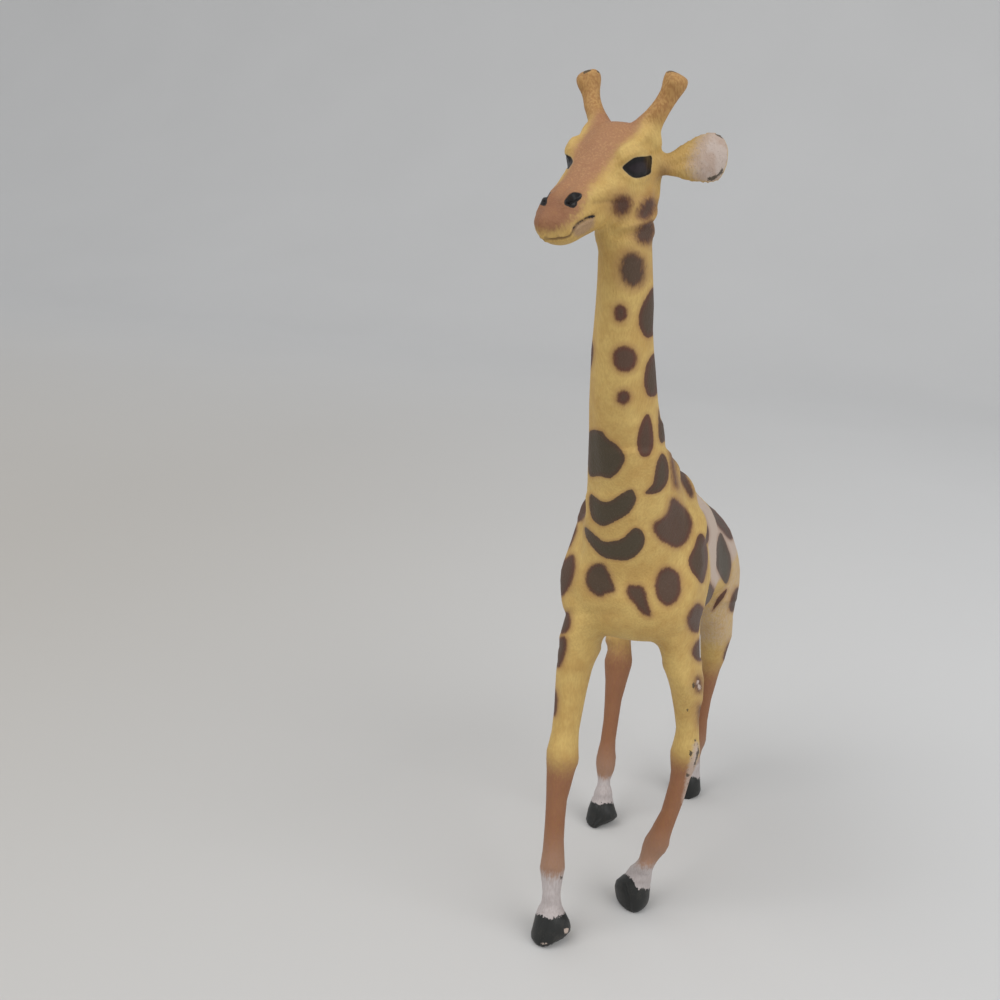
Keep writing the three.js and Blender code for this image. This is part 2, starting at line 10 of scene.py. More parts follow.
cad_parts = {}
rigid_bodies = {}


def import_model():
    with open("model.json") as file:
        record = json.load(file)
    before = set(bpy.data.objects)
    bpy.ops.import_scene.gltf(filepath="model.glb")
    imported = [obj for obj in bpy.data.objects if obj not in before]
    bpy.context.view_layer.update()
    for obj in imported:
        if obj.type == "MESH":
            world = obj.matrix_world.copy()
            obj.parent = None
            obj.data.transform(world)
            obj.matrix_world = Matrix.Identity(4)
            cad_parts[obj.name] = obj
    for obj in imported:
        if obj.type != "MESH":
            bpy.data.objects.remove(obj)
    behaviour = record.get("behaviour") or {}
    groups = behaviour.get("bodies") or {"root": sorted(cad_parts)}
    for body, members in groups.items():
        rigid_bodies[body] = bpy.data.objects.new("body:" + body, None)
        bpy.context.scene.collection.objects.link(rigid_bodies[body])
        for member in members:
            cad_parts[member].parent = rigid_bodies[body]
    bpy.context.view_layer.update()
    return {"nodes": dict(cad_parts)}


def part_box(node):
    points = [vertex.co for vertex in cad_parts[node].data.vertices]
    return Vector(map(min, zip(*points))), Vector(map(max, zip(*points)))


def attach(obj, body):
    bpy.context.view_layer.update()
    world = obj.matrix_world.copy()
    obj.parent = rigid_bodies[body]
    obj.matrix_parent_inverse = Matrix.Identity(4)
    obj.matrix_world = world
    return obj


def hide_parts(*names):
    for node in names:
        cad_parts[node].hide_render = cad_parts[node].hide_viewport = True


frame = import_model()
mm = 0.001  # sizes below are in millimetres


# small tools for working on a piece

def pick(piece):
    if bpy.context.mode != "OBJECT":
        bpy.ops.object.mode_set(mode="OBJECT")
    bpy.ops.object.select_all(action="DESELECT")
    piece.select_set(True)
    bpy.context.view_layer.objects.active = piece


def editMesh(piece, kind="VERT"):
    pick(piece)
    bpy.ops.object.mode_set(mode="EDIT")
    bpy.ops.mesh.select_mode(type=kind)
    bpy.ops.mesh.select_all(action="DESELECT")


def stopEdit():
    bpy.ops.object.mode_set(mode="OBJECT")


def modify(piece, kind, **values):
    pick(piece)
    modifier = piece.modifiers.new(kind.lower(), kind)
    for key, value in values.items():
        setattr(modifier, key, value)
    bpy.ops.object.modifier_apply(modifier=modifier.name)


def joinAll(pieces):
    pick(pieces[0])
    for piece in pieces[1:]:
        piece.select_set(True)
    bpy.ops.object.join()
    return pieces[0]


def readPoints(piece):
    values = np.empty(len(piece.data.vertices) * 3, np.float32)
    piece.data.vertices.foreach_get("co", values)
    return values.reshape(-1, 3).astype(np.float64) / mm


def writePoints(piece, points):
    piece.data.vertices.foreach_set("co", (points * mm).astype(np.float32).ravel())
    piece.data.update()


def readNormals(piece):
    values = np.empty(len(piece.data.vertices) * 3, np.float32)
    piece.data.vertex_normals.foreach_get("vector", values)
    return values.reshape(-1, 3).astype(np.float64)


def ramp(values, low, high):  # smooth 0 to 1 from low to high, either way round
    t = np.clip((values - low) / (high - low), 0, 1)
    return t * t * (3 - 2 * t)


def pathDistance(points, path):  # distance to a bent line, and how far along it, 0 to 1
    path = np.asarray(path, float)
    nearest = np.full(len(points), 1e9)
    along = np.zeros(len(points))
    lengths = np.linalg.norm(path[1:] - path[:-1], axis=1)
    starts = np.concatenate([[0], np.cumsum(lengths)])
    for i in range(len(path) - 1):
        step = path[i + 1] - path[i]
        t = np.clip(((points - path[i]) @ step) / (step @ step), 0, 1)
        d = np.linalg.norm(points - path[i] - t[:, None] * step, axis=1)
        closer = d < nearest
        nearest[closer] = d[closer]
        along[closer] = ((starts[i] + t * lengths[i]) / starts[-1])[closer]
    return nearest, along


def roundedLoop(outline, steps=4):  # a closed outline through the given corners, without kinks
    p = np.asarray(outline, float)
    before, after, later = np.roll(p, 1, 0), np.roll(p, -1, 0), np.roll(p, -2, 0)
    rows = []
    for t in np.arange(steps) / steps:
        slopeIn, slopeOut, rise = (after - before) / 2, (later - p) / 2, after - p
        rows.append(p + t * slopeIn + t * t * (3 * rise - 2 * slopeIn - slopeOut)
                    + t ** 3 * (slopeIn + slopeOut - 2 * rise))
    return np.stack(rows, 1).reshape(-1, 2)


def insideBy(points, outline):  # how far each flat point is inside a closed outline, negative outside
    nearest = np.full(len(points), 1e9)
    inside = np.zeros(len(points), bool)
    for a, b in zip(outline, np.roll(outline, -1, 0)):
        step = b - a
        t = np.clip(((points - a) @ step) / max(step @ step, 1e-9), 0, 1)
        nearest = np.minimum(nearest, np.linalg.norm(points - a - t[:, None] * step, axis=1))
        if a[1] != b[1]:
            crosses = (points[:, 1] > a[1]) != (points[:, 1] > b[1])
            side = a[0] + (points[:, 1] - a[1]) / (b[1] - a[1]) * (b[0] - a[0])
            inside ^= crosses & (points[:, 0] < side)
    return np.where(inside, nearest, -nearest)


# where things are: the animal faces -Y, its left is +X

backMiddle = (0.908, 20.485)  # where the middle of the back stands in the shared frame
headPose = {"at": (-4.6, 86.6, 219.4), "turn": -16.3, "tilt": 3.1}  # angles in degrees
neckAngle = 25  # degrees forward of upright
flipped = np.array([1, -1, 1])  # forward is the frame's -Y


def place(side, forward, height):  # from the middle of the back, on the ground
    return Vector((side - backMiddle[0], backMiddle[1] - forward, height)) * mm


def fromBack(points):  # the other way round, for many points
    return np.stack([points[:, 0] + backMiddle[0], backMiddle[1] - points[:, 1], points[:, 2]], 1)


def toBack(back):
    return np.stack([back[:, 0] - backMiddle[0], backMiddle[1] - back[:, 1], back[:, 2]], 1)


headPlace = (
    Matrix.Translation(place(*headPose["at"]))
    @ Matrix.Rotation(math.radians(headPose["turn"]), 4, "Z")
    @ Matrix.Rotation(math.radians(headPose["tilt"]), 4, "Y")
)
headTurn = np.array(headPlace.to_3x3())
headMiddle = np.array(headPlace.translation) / mm


def onHead(side, forward, up):  # from the point between the eyes
    return headPlace @ (Vector((side, -forward, up)) * mm)


def fromHead(points):  # side, forward and up from there, for many points
    return ((points - headMiddle) @ headTurn) * flipped


def toScene(local):
    return (local * flipped) @ headTurn.T + headMiddle


neckLean = (math.sin(math.radians(neckAngle)), math.cos(math.radians(neckAngle)))  # forward, up
neckAxis = Vector((0, -neckLean[0], neckLean[1]))
tailPath = [place(0, -f, h) / mm for f, h in [(50, 101), (55.5, 95), (59.4, 89), (61.7, 81), (62.7, 72),
                                              (63, 65), (62.7, 53), (62.2, 43)]]


# camera, as the picture was taken

picture = {
    "pixels": 1000,
    "eye": (60.4, -280.4, 203.3),
    "look": (-0.3529, 0.9005, -0.2541),
    "up": (-0.1575, 0.2105, 0.9648),
    "lens": 36,
    "sensor": 36,
}
pictureScale = picture["pixels"] * picture["lens"] / picture["sensor"]
pictureMiddle = picture["pixels"] / 2


def addCamera():
    look = Vector(picture["look"]).normalized()
    right = look.cross(Vector(picture["up"])).normalized()
    up = right.cross(look)
    data = bpy.data.cameras.new("camera")
    data.lens = picture["lens"]
    data.sensor_width = picture["sensor"]
    data.clip_start = 0.01
    camera = bpy.data.objects.new("camera", data)
    camera.matrix_world = Matrix.Translation(Vector(picture["eye"]) * mm) @ Matrix(
        (right, up, -look)).transposed().to_4x4()
    bpy.context.collection.objects.link(camera)
    bpy.context.scene.camera = camera
    return right, up, look


camRight, camUp, camLook = [np.array(v) for v in addCamera()]
levelLook = camLook * np.array([1, 1, 0]) / np.linalg.norm(camLook[:2])  # away from the camera, on the ground


def pixelsOf(points):  # where points show in the picture, and millimetres per pixel there
    away = points - np.array(picture["eye"])
    depth = away @ camLook
    flat = np.stack([pictureMiddle + pictureScale * (away @ camRight) / depth,
                     pictureMiddle - pictureScale * (away @ camUp) / depth], 1)
    return flat, depth / pictureScale


def rayAt(x, y):
    ray = camLook + camRight * (x - pictureMiddle) / pictureScale + camUp * (pictureMiddle - y) / pictureScale
    return Vector(ray).normalized()


# the skin: the mouldings' forms fused, filleted and refined

skinForm = {
    "weld": 0.002,
    "flat": (0.7, 0.9),  # how even two triangles are that become one face
    "sharp": 55,  # degrees: sharper edges stay
    "levels": 2,
    "firstVoxel": 0.5,
    "voxel": 0.48,
    "fillet": {"leg": 0.3, "body": 2.1, "neckTop": 1.1, "head": 0.55, "tail": 0.3},
    "heights": {"body": (76, 92), "neckTop": (160, 195), "head": (199, 206)},  # where each one takes over
    "tail": {"reach": (9, 5), "top": (101, 96)},
    "regain": 0.12,  # what the rounding of the forms takes off
    "firstCalm": {"least": 0.25, "from": (80, 95), "to": (205, 190), "rounds": 14},
    "calm": (0.6, 2),  # weight and rounds
    "headCalm": (0.8, 4),
    "headFrom": (196, 203),
}


def roundForm(name):
    piece = bpy.data.objects.new(name + "Form", frame["nodes"][name].data.copy())
    bpy.context.collection.objects.link(piece)
    piece.data.materials.clear()
    editMesh(piece, "EDGE")
    bpy.ops.mesh.select_all(action="SELECT")
    bpy.ops.mesh.remove_doubles(threshold=skinForm["weld"] * mm)
    turn, shape = skinForm["flat"]
    bpy.ops.mesh.tris_convert_to_quads(face_threshold=turn, shape_threshold=shape)
    bpy.ops.mesh.select_all(action="DESELECT")
    bpy.ops.mesh.edges_select_sharp(sharpness=math.radians(skinForm["sharp"]))
    bpy.ops.transform.edge_crease(value=1)
    stopEdit()
    modify(piece, "SUBSURF", levels=skinForm["levels"], render_levels=skinForm["levels"])
    return piece


def filletAt(points):  # how wide a fillet each place gets
    size, tail, z = skinForm["fillet"], skinForm["tail"], points[:, 2]
    last = size["leg"]
    result = np.full(len(z), last)
    for name, heights in skinForm["heights"].items():
        result += (size[name] - last) * ramp(z, *heights)
        last = size[name]
    nearTail, _ = pathDistance(points, tailPath)
    return result + (size["tail"] - result) * ramp(nearTail, *tail["reach"]) * ramp(z, *tail["top"])


def swell(piece, amount):
    points = readPoints(piece)
    writePoints(piece, points + readNormals(piece) * amount(points)[:, None])


def keepOutside(piece):  # what the sockets leave inside is deleted
    points = readPoints(piece)
    top = int(points[:, 2].argmax())
    editMesh(piece)
    stopEdit()
    piece.data.vertices[top].select = True
    bpy.ops.object.mode_set(mode="EDIT")
    bpy.ops.mesh.select_linked()
    bpy.ops.mesh.select_all(action="INVERT")
    bpy.ops.mesh.delete(type="VERT")
    stopEdit()


def fuse(pieces, voxel, fillet, regain):
    skin = joinAll(pieces)
    swell(skin, fillet)
    modify(skin, "REMESH", mode="VOXEL", voxel_size=voxel * mm, use_smooth_shade=True)
    keepOutside(skin)
    swell(skin, lambda points: regain - fillet(points))
    return skin


def smooth(piece, weights, rounds):  # weights in tenths, 0 to 1
    group = piece.vertex_groups.new(name="soft")
    levels = np.round(np.clip(weights, 0, 1) * 10).astype(int)
    for level in range(1, 11):
        chosen = np.nonzero(levels == level)[0]
        if len(chosen):
            group.add(chosen.tolist(), level / 10, "REPLACE")
    modify(piece, "SMOOTH", factor=0.5, iterations=rounds, vertex_group="soft")
    piece.vertex_groups.remove(piece.vertex_groups["soft"])


def makeSkin():
    forms = [roundForm(name) for name in frame["nodes"]]
    skin = fuse(forms, skinForm["firstVoxel"], filletAt, skinForm["regain"])
    skin.name = "skin"
    z, calm = readPoints(skin)[:, 2], skinForm["firstCalm"]
    upper = ramp(z, *calm["from"]) * ramp(z, *calm["to"])
    smooth(skin, calm["least"] + (1 - calm["least"]) * upper, calm["rounds"])
    print("skin fused:", len(skin.data.vertices), "points")
    return skin


skin = makeSkin()


# relief: ridges and grooves along lines on the head and body

# forward, up; the eye that the picture doesn't show
eyeOutline = [(3.2, -0.3), (2.8, 1), (2, 1.9), (0.6, 2.2), (-1.7, 2.5), (-4.9, 2.8), (-5.4, 1.5),
              (-4.8, -0.5), (-3.8, -1), (-1.4, -1.8), (0.2, -1.9), (1.7, -1.6)]
eyes = [  # in the picture's pixels, like the nostrils, lip and mouth
    [(622, 167), (628, 161), (635, 157), (645, 156.2), (651.3, 156), (651.7, 163), (650.7, 168),
     (650, 172.5), (646.5, 175), (638.5, 177.7), (633, 177.5), (628.5, 175), (624.5, 171)],
    [(565.4, 153.5), (569, 155.5), (571.6, 158), (572.8, 162), (570.5, 166), (567.9, 169), (565, 166),
     (563.5, 159)],
]
nostrils = [
    [(564.3, 202.1), (565.7, 199.3), (569.3, 195.7), (574.3, 192.9), (580, 193.3), (581.9, 195.4),
     (581, 198.6), (577.4, 202), (577.1, 205), (574, 207.9), (570.7, 207.6), (567.9, 206.4), (565, 205.2)],
    [(549.5, 189.5), (546, 192), (543, 196), (540.5, 199), (539.5, 202), (541, 205), (544.5, 205.9),
     (546.8, 203.3), (547.6, 199), (549.6, 195), (551, 191.6)],
]
lipPatch = [(573, 227), (580, 222.3), (587, 219), (594.5, 216.5), (594, 224), (591, 229.5), (585, 234),
            (578, 236.5), (573.5, 234)]
mouth = [(545.5, 238), (551, 238.6), (558, 238), (564, 237.3), (569, 235.5), (572, 232), (573.5, 228),
         (576, 224.5), (580, 221.5), (586, 218.3), (592, 216), (594.5, 216)]
mouthCorner = mouth[6:]
napeLine = [(0, 28.4, 145.2), (0, 41.3, 153.2), (0, 54.4, 165.9), (0, 61.6, 175.8), (0, 69.9, 194.5),
            (0, 74, 207.7)]

headRelief = [  # side, forward, up along the line; width and height; on both sides
    ("eye socket", [(8, 3.5, 0.2), (9, 0, 0.6), (8.6, -4.6, 1)], 2.6, -0.1),
    ("eyeball", [(8.4, 1.4, 0.1), (9, -1, 0.5), (8.6, -3.2, 0.9)], 1.7, 0.75),
    ("upper lid", [(6.6, 4.4, 0.2), (7.6, 3.4, 1.8), (8.6, 1.2, 3), (8.8, -2, 3.6), (8.5, -5.6, 3.8)], 0.45,
        0.3),
    ("under the brow", [(8.2, -1.4, 4.7), (8.2, -4.8, 4.9)], 0.8, -0.35),
    ("brow", [(7.6, 0.4, 5.2), (8.2, -2.2, 6.3), (8.3, -5.6, 6.2)], 1.1, 0.35),
    ("lower lid", [(6.6, 4.2, -0.8), (7.6, 2.4, -2.2), (8.4, -0.6, -2.8), (8.8, -3.8, -2), (8.7, -6, -0.4)],
        0.45, 0.2),
    ("cheekbone", [(4.2, 9, -6.4), (5.6, 5, -4.9), (7.4, 0.6, -5.6), (8.6, -4, -5.4)], 1.2, 0.35),
    ("cheek fold", [(4.6, 9.4, -8), (5.8, 6, -7.2), (7.2, 2, -7.4)], 0.45, -0.3),
    ("cheek hollow", [(4.6, 8.4, -9.2), (6, 4.6, -8.6), (7.4, 0.2, -8.8)], 1.6, -0.35),
    ("nostril rim", [(2.2, 11, -5.4), (1.6, 13.4, -6.2), (2.2, 16.2, -7.6), (3.4, 17.6, -9.2),
        (4.8, 16, -10.4), (5, 13.4, -9.4), (4.3, 11.2, -7.4), (2.2, 11, -5.4)], 0.55, 0.2),
    ("jaw edge", [(7.6, -12.6, 0), (8.4, -12, -4.8), (8.8, -9.6, -8), (9.2, -6.2, -9.9), (8.6, -2.2, -11.4),
        (6.6, 1.6, -12.4)], 0.7, 0.7),
    ("behind the jaw", [(7.2, -13.8, -3.6), (8.2, -11.2, -8.8), (8.6, -6.6, -11.8), (8, -2, -13.2),
        (5.6, 1, -14.2)], 0.75, -0.7),
    ("nose ridge", [(1.7, 6, -0.6), (1.8, 10.2, -3.9), (1.6, 14, -6)], 1, 0.2),
    ("forehead", [(0, -2, 8.4), (0, 2.4, 5)], 2.2, 0.35),
    ("horn root", [(4.4, -4.6, 8.6), (3.2, -2.4, 7.4)], 1.8, 0.45),
    ("knob", [(9.4, -2.8, 17), (9.9, -2.9, 18.6)], 0.7, -0.3),
    ("knob", [(7.4, -4.2, 16.6), (8, -4.4, 18.4)], 0.7, -0.25),
    ("ear fold", [(10.6, -10, 1.6), (12.6, -10.6, 2.4), (15, -11.4, 3.2)], 0.8, -0.5),
]

mouthRelief = [(0, 0.3, -0.5), (0.8, 0.6, 0.3), (-0.9, 0.6, 0.3)]  # slit and lips: lift, width, height
bodyRelief = [  # side, forward, height along the line; width and height; on both sides unless one
    ("neck cord", [(5.4, 76, 196), (5.8, 66, 172), (7.4, 55, 150), (10, 45, 134), (12, 38, 120)], 2.2, 0.5),
    ("throat groove", [(3.8, 80, 190), (3.9, 72.5, 172), (4.6, 64.5, 152), (6.2, 58, 136)], 1.8, -0.4),
    ("shoulder front", [(7, 22, 142), (12.6, 30, 134), (15.6, 40, 124), (16.4, 45, 112), (15, 46, 101)],
        2.6, 0.6),
    ("before the shoulder", [(9, 34, 140), (12, 44, 130), (12.6, 51, 118)], 2.4, -0.5),
    ("brisket", [(0, 59, 128), (0, 60.5, 116), (0, 57, 102)], 3, 0.4),
    ("breast hollow", [(5.2, 58, 122), (6, 57.5, 110), (5.6, 54, 100)], 2.4, -0.35),
    ("behind the shoulder", [(13, 14, 136), (17.6, 18, 122), (18, 21, 108), (15, 22, 98)], 3, -0.8),
    ("flank", [(16, -12, 112), (17, -20, 104), (15, -25, 98)], 4, -0.7),
    ("hip", [(9, -30, 124), (15, -33, 114), (17.5, -34, 102)], 3.4, 0.5),
    ("ribs", [(17, 8, 100), (18, 8, 114)], 1.6, 0.2),
    ("ribs", [(17, 2, 99), (18, 2, 112)], 1.6, 0.2),
    ("ribs", [(16.5, -4, 98), (18, -4, 110)], 1.6, 0.2),
    ("spine", [(0, 14, 138), (0, -10, 132), (0, -34, 123), (0, -48, 112)], 2, 0.45),
    ("mane", napeLine, 1, 1.5, {"notches": 46}),
    ("knee cap", [(-13.6, 51.6, 64), (-13.6, 52, 59)], 2.2, 0.35, {"one": True}),
    ("knee cap", [(19.6, 33.4, 64), (19.6, 33, 59)], 2.2, 0.35, {"one": True}),
    ("shin", [(-12.8, 53, 50), (-12.4, 54.4, 26)], 1.1, 0.25, {"one": True}),
    ("tendon", [(-12.8, 45.6, 54), (-12.4, 47.6, 26)], 1, 0.25, {"one": True}),
    ("shin", [(18, 31.4, 50), (13.6, 29.4, 28)], 1.1, 0.25, {"one": True}),
]

headPulls = [  # at side, forward, up; how far that goes and how wide it reaches; on both sides
    ("nose", (2.6, 19.4, -13.4), (-0.45, -0.85, 0), 4),
    ("nostril", (4, 16.6, -9), (-0.3, -0.25, 0), 2.8),
    ("bridge", (3.4, 11.6, -5.6), (0.35, 0.1, 0.4), 2.4),
    ("chin", (0.4, 12.6, -16.3), (0.1, 0.1, -0.65), 3.6),
    ("lower lip", (2.4, 17.2, -15.8), (-0.2, -0.5, 0), 2),
    ("horn root", (9.5, -2.6, 8), (-1.05, -0.3, 0), 2.6),
    ("over the brow", (7.8, -2.2, 6.7), (0.85, 0.3, 0.6), 2),
    ("brow top", (8.2, -1, 5.9), (0.25, 0.1, 0.8), 2),
    ("brow end", (8.2, 1.8, 4), (0.15, 0.1, 0.5), 1.7),
    ("brow", (8.7, 3.8, 2.4), (-0.5, -0.3, 0), 2),
    ("below the eye", (7.4, 3.7, -1.8), (-0.5, -0.2, 0), 1.7),
    ("temple", (8, -9, 4.6), (0.9, -0.5, 0.2), 2.4),
    ("horn", (10, -5.6, 13), (0.45, -0.55, 0), 3.2),
    ("horn top", (10.9, -5.5, 18.6), (0, -1, -0.4), 4.2),
    ("ear below", (16.2, -16.3, -1.4), (0, 0, 0.5), 2.6),
    ("ear above", (17.6, -17.4, 8), (0.45, -0.35, 0.25), 3.2),
]
bodyPulls = [  # at side, forward, height
    ("shoulder", (15.9, 34, 132), (1.7, 0, 0.6), 4.6),
    ("withers", (8, 25, 141), (0.9, 0, 2.2), 6),
    ("nape root", (9.3, 42, 147), (0.8, 0, 0.6), 3),
    ("belly", (15, -10, 95), (-1, 0, 1.6), 7.5),
    ("neck root", (13.2, 50, 135), (-1.3, 0.2, 0), 5),
]
outlines = {  # each limb's left and right edges in the picture, down its rows
    "neck": [(240, 597.4, 652.2), (252, 598.2, 652.4), (280, 597.2, 653.2), (305, 595.5, 654),
        (330, 593.3, 653), (350, 591.3, 654), (370, 590.5, 655.8), (400, 589.2, 658), (418, 589, 660.7),
        (424, 589, 663.5), (436, 588.9, 665), (446, 588.5, 665.5), (460, 588, None), (490, 587.2, None)],
    "chest": [(520, 577.2, None), (540, 571.2, None), (560, 564, None), (570, 561, None),
        (580, 560.2, None), (590, 560.5, None), (600, 561.5, None), (607, 563, None), (614, 566, None),
        (630, 561.2, None)],
    "rear": [(500, None, 703.6), (510, None, 715.7), (520, None, 724.3), (530, None, 730.7),
        (550, None, 737.1), (560, None, 739), (570, None, 740), (590, None, 739.3), (600, None, 738.3),
        (610, None, 735.4), (630, None, 732.1)],
    "frontRight": [(606, 563, None), (614, 566, None), (618, 564.6, None), (630, 561.2, None),
        (640, 559.6, 600.5), (655, 557.3, 596.3), (670, 556.2, 592), (690, 555, 587), (710, 554, 583),
        (730, 551.6, 579.2), (740, 549.2, 578.6), (750, 546.6, 578.6), (758, 546.3, 578.9),
        (764, 546.4, 578), (770, 546.6, 575.4), (800, 546, 567.1), (820, 545, 565), (840, 543.5, 563.9),
        (850, 542.5, 564.3), (868, 539.6, 565), (884, 542, 561.8), (892, 542.5, 560.5), (900, 541.5, 561),
        (908, 537.7, 563.2), (914, 535.3, 566.5), (920, 534, 569.5), (926, 532.5, 570.8),
        (931, 531.2, 570.3), (936, 530.8, 567.8), (940, 531.4, 563), (944, 534.5, 557), (948, 538.5, 546)],
    "frontLeft": [(660, 662, 703.6), (680, 668, 704), (690, 670.5, 703.5), (700, 672.3, 702.8),
        (710, 674, 700), (720, 675.2, 699), (727, 676, 699), (733, 675.2, 699), (740, 673.5, 699.3),
        (750, 670.3, 700), (756, 670, 699.6), (762, 670.3, 698), (770, 670.7, 694.5), (780, 669.5, 690),
        (800, 664, 684), (810, 661, 680.2), (830, 650, 672.6), (838, 644.7, 670.2), (845, 642.2, 669),
        (852, 640.6, 665.5), (858, 638.7, 660), (862, 635.5, 657), (866, 630, 654.7), (870, 626.5, 653),
        (875, 621.5, 652.2), (880, 615.5, 651.2), (886, 614.3, 650.4), (892, 615, 649.8),
        (898, 616.5, 649.3), (903, 619, 648), (907, 623, 645.5), (910, 627.5, 642), (912, 632, 638)],
    "hindRight": [(641, 605.3, 631.1), (646, 607.2, 631.3), (650, 607.5, 631.5), (660, 604.5, 632.5),
        (665, 604.5, 632), (680, 605.3, 627.5), (700, 604.7, 621.8), (720, 603.4, 618.6),
        (740, 600.5, 615.6), (750, 598, 615.4), (757, 596.3, 616), (764, 595.8, 615.4), (770, 596.5, 614.2),
        (780, 597.9, 610.2), (785, 597.1, 610.2), (790, 595, 611.8), (796, 592.3, 613), (802, 590.3, 613.5),
        (808, 588, 615), (815, 586.6, 617.3), (819, 586, 616.5), (823, 587, 608), (826, 589.5, 600),
        (828, 591.5, 597)],
    "hindLeft": [(620, None, 733.1), (636, None, 732), (650, None, 727.3), (660, None, 724.5),
        (670, None, 720), (700, None, 711.2), (720, None, 707.5), (740, None, 706), (745, None, 704.5),
        (750, None, 702), (757, None, 700), (778, None, 700), (790, None, 700.7), (795, None, 699),
        (798, None, 694)],
}
soleLines = [  # hooves' lower edges in the picture
    [(586, 820), (588.5, 824.7), (592, 827.2), (597, 827.8), (602, 826.6), (608, 823.8), (613, 821),
     (616.5, 817.5)],
    [(531, 937), (535, 943), (538, 945), (542.5, 946.4), (547, 946), (550, 945), (557.5, 940.8), (566, 936),
     (570, 931.5)],
    [(614.5, 895), (616.5, 900), (620, 905), (626, 909.8), (632.5, 912.2), (638.8, 911.6), (644.5, 908.4),
     (648.6, 902)],
]
outlineFit = {
    "band": 2,  # height of the picture's rows that are measured together
    "fade": {"hindRight": 25},  # how far above its first row a limb eases off
    "usualFade": 8,
    "depth": {"chest": 0, "rear": 0, "neck": 0.6},  # share of the slimming from front to back
    "legDepth": 0.8,
    "slimming": (-0.25, 0.2),
    "aboveHoof": (9, 13),
    "drag": {"hindLeft": 0.6},  # how much a hidden edge follows the one in view
}
limbRoom = {  # where the limbs begin and end
    "neckFoot": (36, 115),  # forward, height
    "neckAlong": (16, 34, 104, 98),
    "neckThick": ([20, 60, 100], [26, 17, 12]),
    "neckEase": 3,
    "legTop": (92, 84),
    "trunkTop": (80, 60),
    "chest": (4, 22),
    "rear": (-4, -24),
    "middle": -1.5,  # the left legs stand left of here
    "tail": 4.5,
}
soleTrim = {"top": 9, "beside": 3, "below": 12, "soft": 0.6, "start": 0.12, "most": 6}  # below: the next hoof

hoofForm = {
    # side, forward, and length of the toe
    "feet": [(-10.8, 50.6, 6.1), (7.4, 23.0, 5.9), (-14.8, -16.7, 5.6), (10.4, -53.4, 5.6)],
    "cleft": {"line": [(0.7, 9), (1, 5), (1, 0.6)], "width": 0.42, "height": -0.6},  # toe's share, height
    "step": 0.3,  # how far the hoof stands out from the ankle
    "stepEase": (-0.4, 0.5),
    "round": (1.0, 2.2),  # rounding of the sole's edge at the toe and at the heel
    "roundEase": (-0.4, 1.0),
    "roundShare": 0.8,
    "roundReach": 1.6,
    "heelWay": (0.75, -0.66),  # the side that is rounded most
    "flat": 0.35,  # the skin below this is the flat sole
}
headRoom = {"low": -21, "fineLow": -19, "rear": -27}
reliefForm = {
    "reach": 3.2,  # how many widths a line's relief spreads
    "start": (-0.3, 0.12),
    "end": (1.3, 0.88),
    "notch": 0.28,
    "groove": 0.6,  # narrower lines are grooves that get painted crease shade
}
holeDepth = {"eye": (0.12, 0.3), "nostril": (1.2, 1.4)}  # how deep it sinks, and how far in it is that deep


def densePath(path, step=0.7):
    path = np.asarray(path, float)
    rows = []
    for a, b in zip(path[:-1], path[1:]):
        parts = max(1, int(np.linalg.norm(b - a) / step))
        rows += [a + (b - a) * k / parts for k in range(parts)]
    return np.array(rows + [path[-1]])


def treeOf(points):
    tree = KDTree(len(points))
    for i, point in enumerate(points):
        tree.insert(point, i)
    tree.balance()
    return tree


def ontoSkin(path, tree):
    return np.array([tree.find(p)[0] for p in densePath(path)])


def pulled(points, pulls):  # the form moved about a few places, like clay, the same on both sides
    folded = np.stack([np.abs(points[:, 0]), points[:, 1], points[:, 2]], 1)
    move = np.zeros(points.shape)
    for _, at, way, reach in pulls:
        distance = np.linalg.norm(folded - np.array(at), axis=1) / (1.8 * reach)
        move += (np.clip(1 - distance ** 2, 0, 1) ** 2)[:, None] * np.array(way)
    move[:, 0] *= np.sign(points[:, 0]) * ramp(folded[:, 0], 0, 1.5)
    return points + move


def limbWeights(points):  # how far each point belongs to each limb, 0 to 1
    room = limbRoom
    back = fromBack(points)
    side, forward, z = back[:, 0], back[:, 1], back[:, 2]
    ahead, above = forward - room["neckFoot"][0], z - room["neckFoot"][1]
    along = ahead * neckLean[0] + above * neckLean[1]
    across = np.abs(ahead * neckLean[1] - above * neckLean[0])
    thick = np.interp(along, *room["neckThick"])
    low, high, last, end = room["neckAlong"]
    neck = ramp(along, low, high) * ramp(along, last, end) * ramp(across, thick + room["neckEase"], thick)
    leg = ramp(z, *room["legTop"])
    tail, _ = pathDistance(points, tailPath)
    left = side > room["middle"]
    trunk = (1 - neck) * (1 - leg) * ramp(along, *room["trunkTop"])
    weights = {"neck": neck}
    for name in ("chest", "rear"):
        weights[name] = trunk * ramp(forward, *room[name])
    for name in legPaint:
        here = ((forward > 0) == ("front" in name)) & (left == ("Left" in name)) & (tail > room["tail"])
        weights[name] = np.where(here, leg, 0)
    return weights


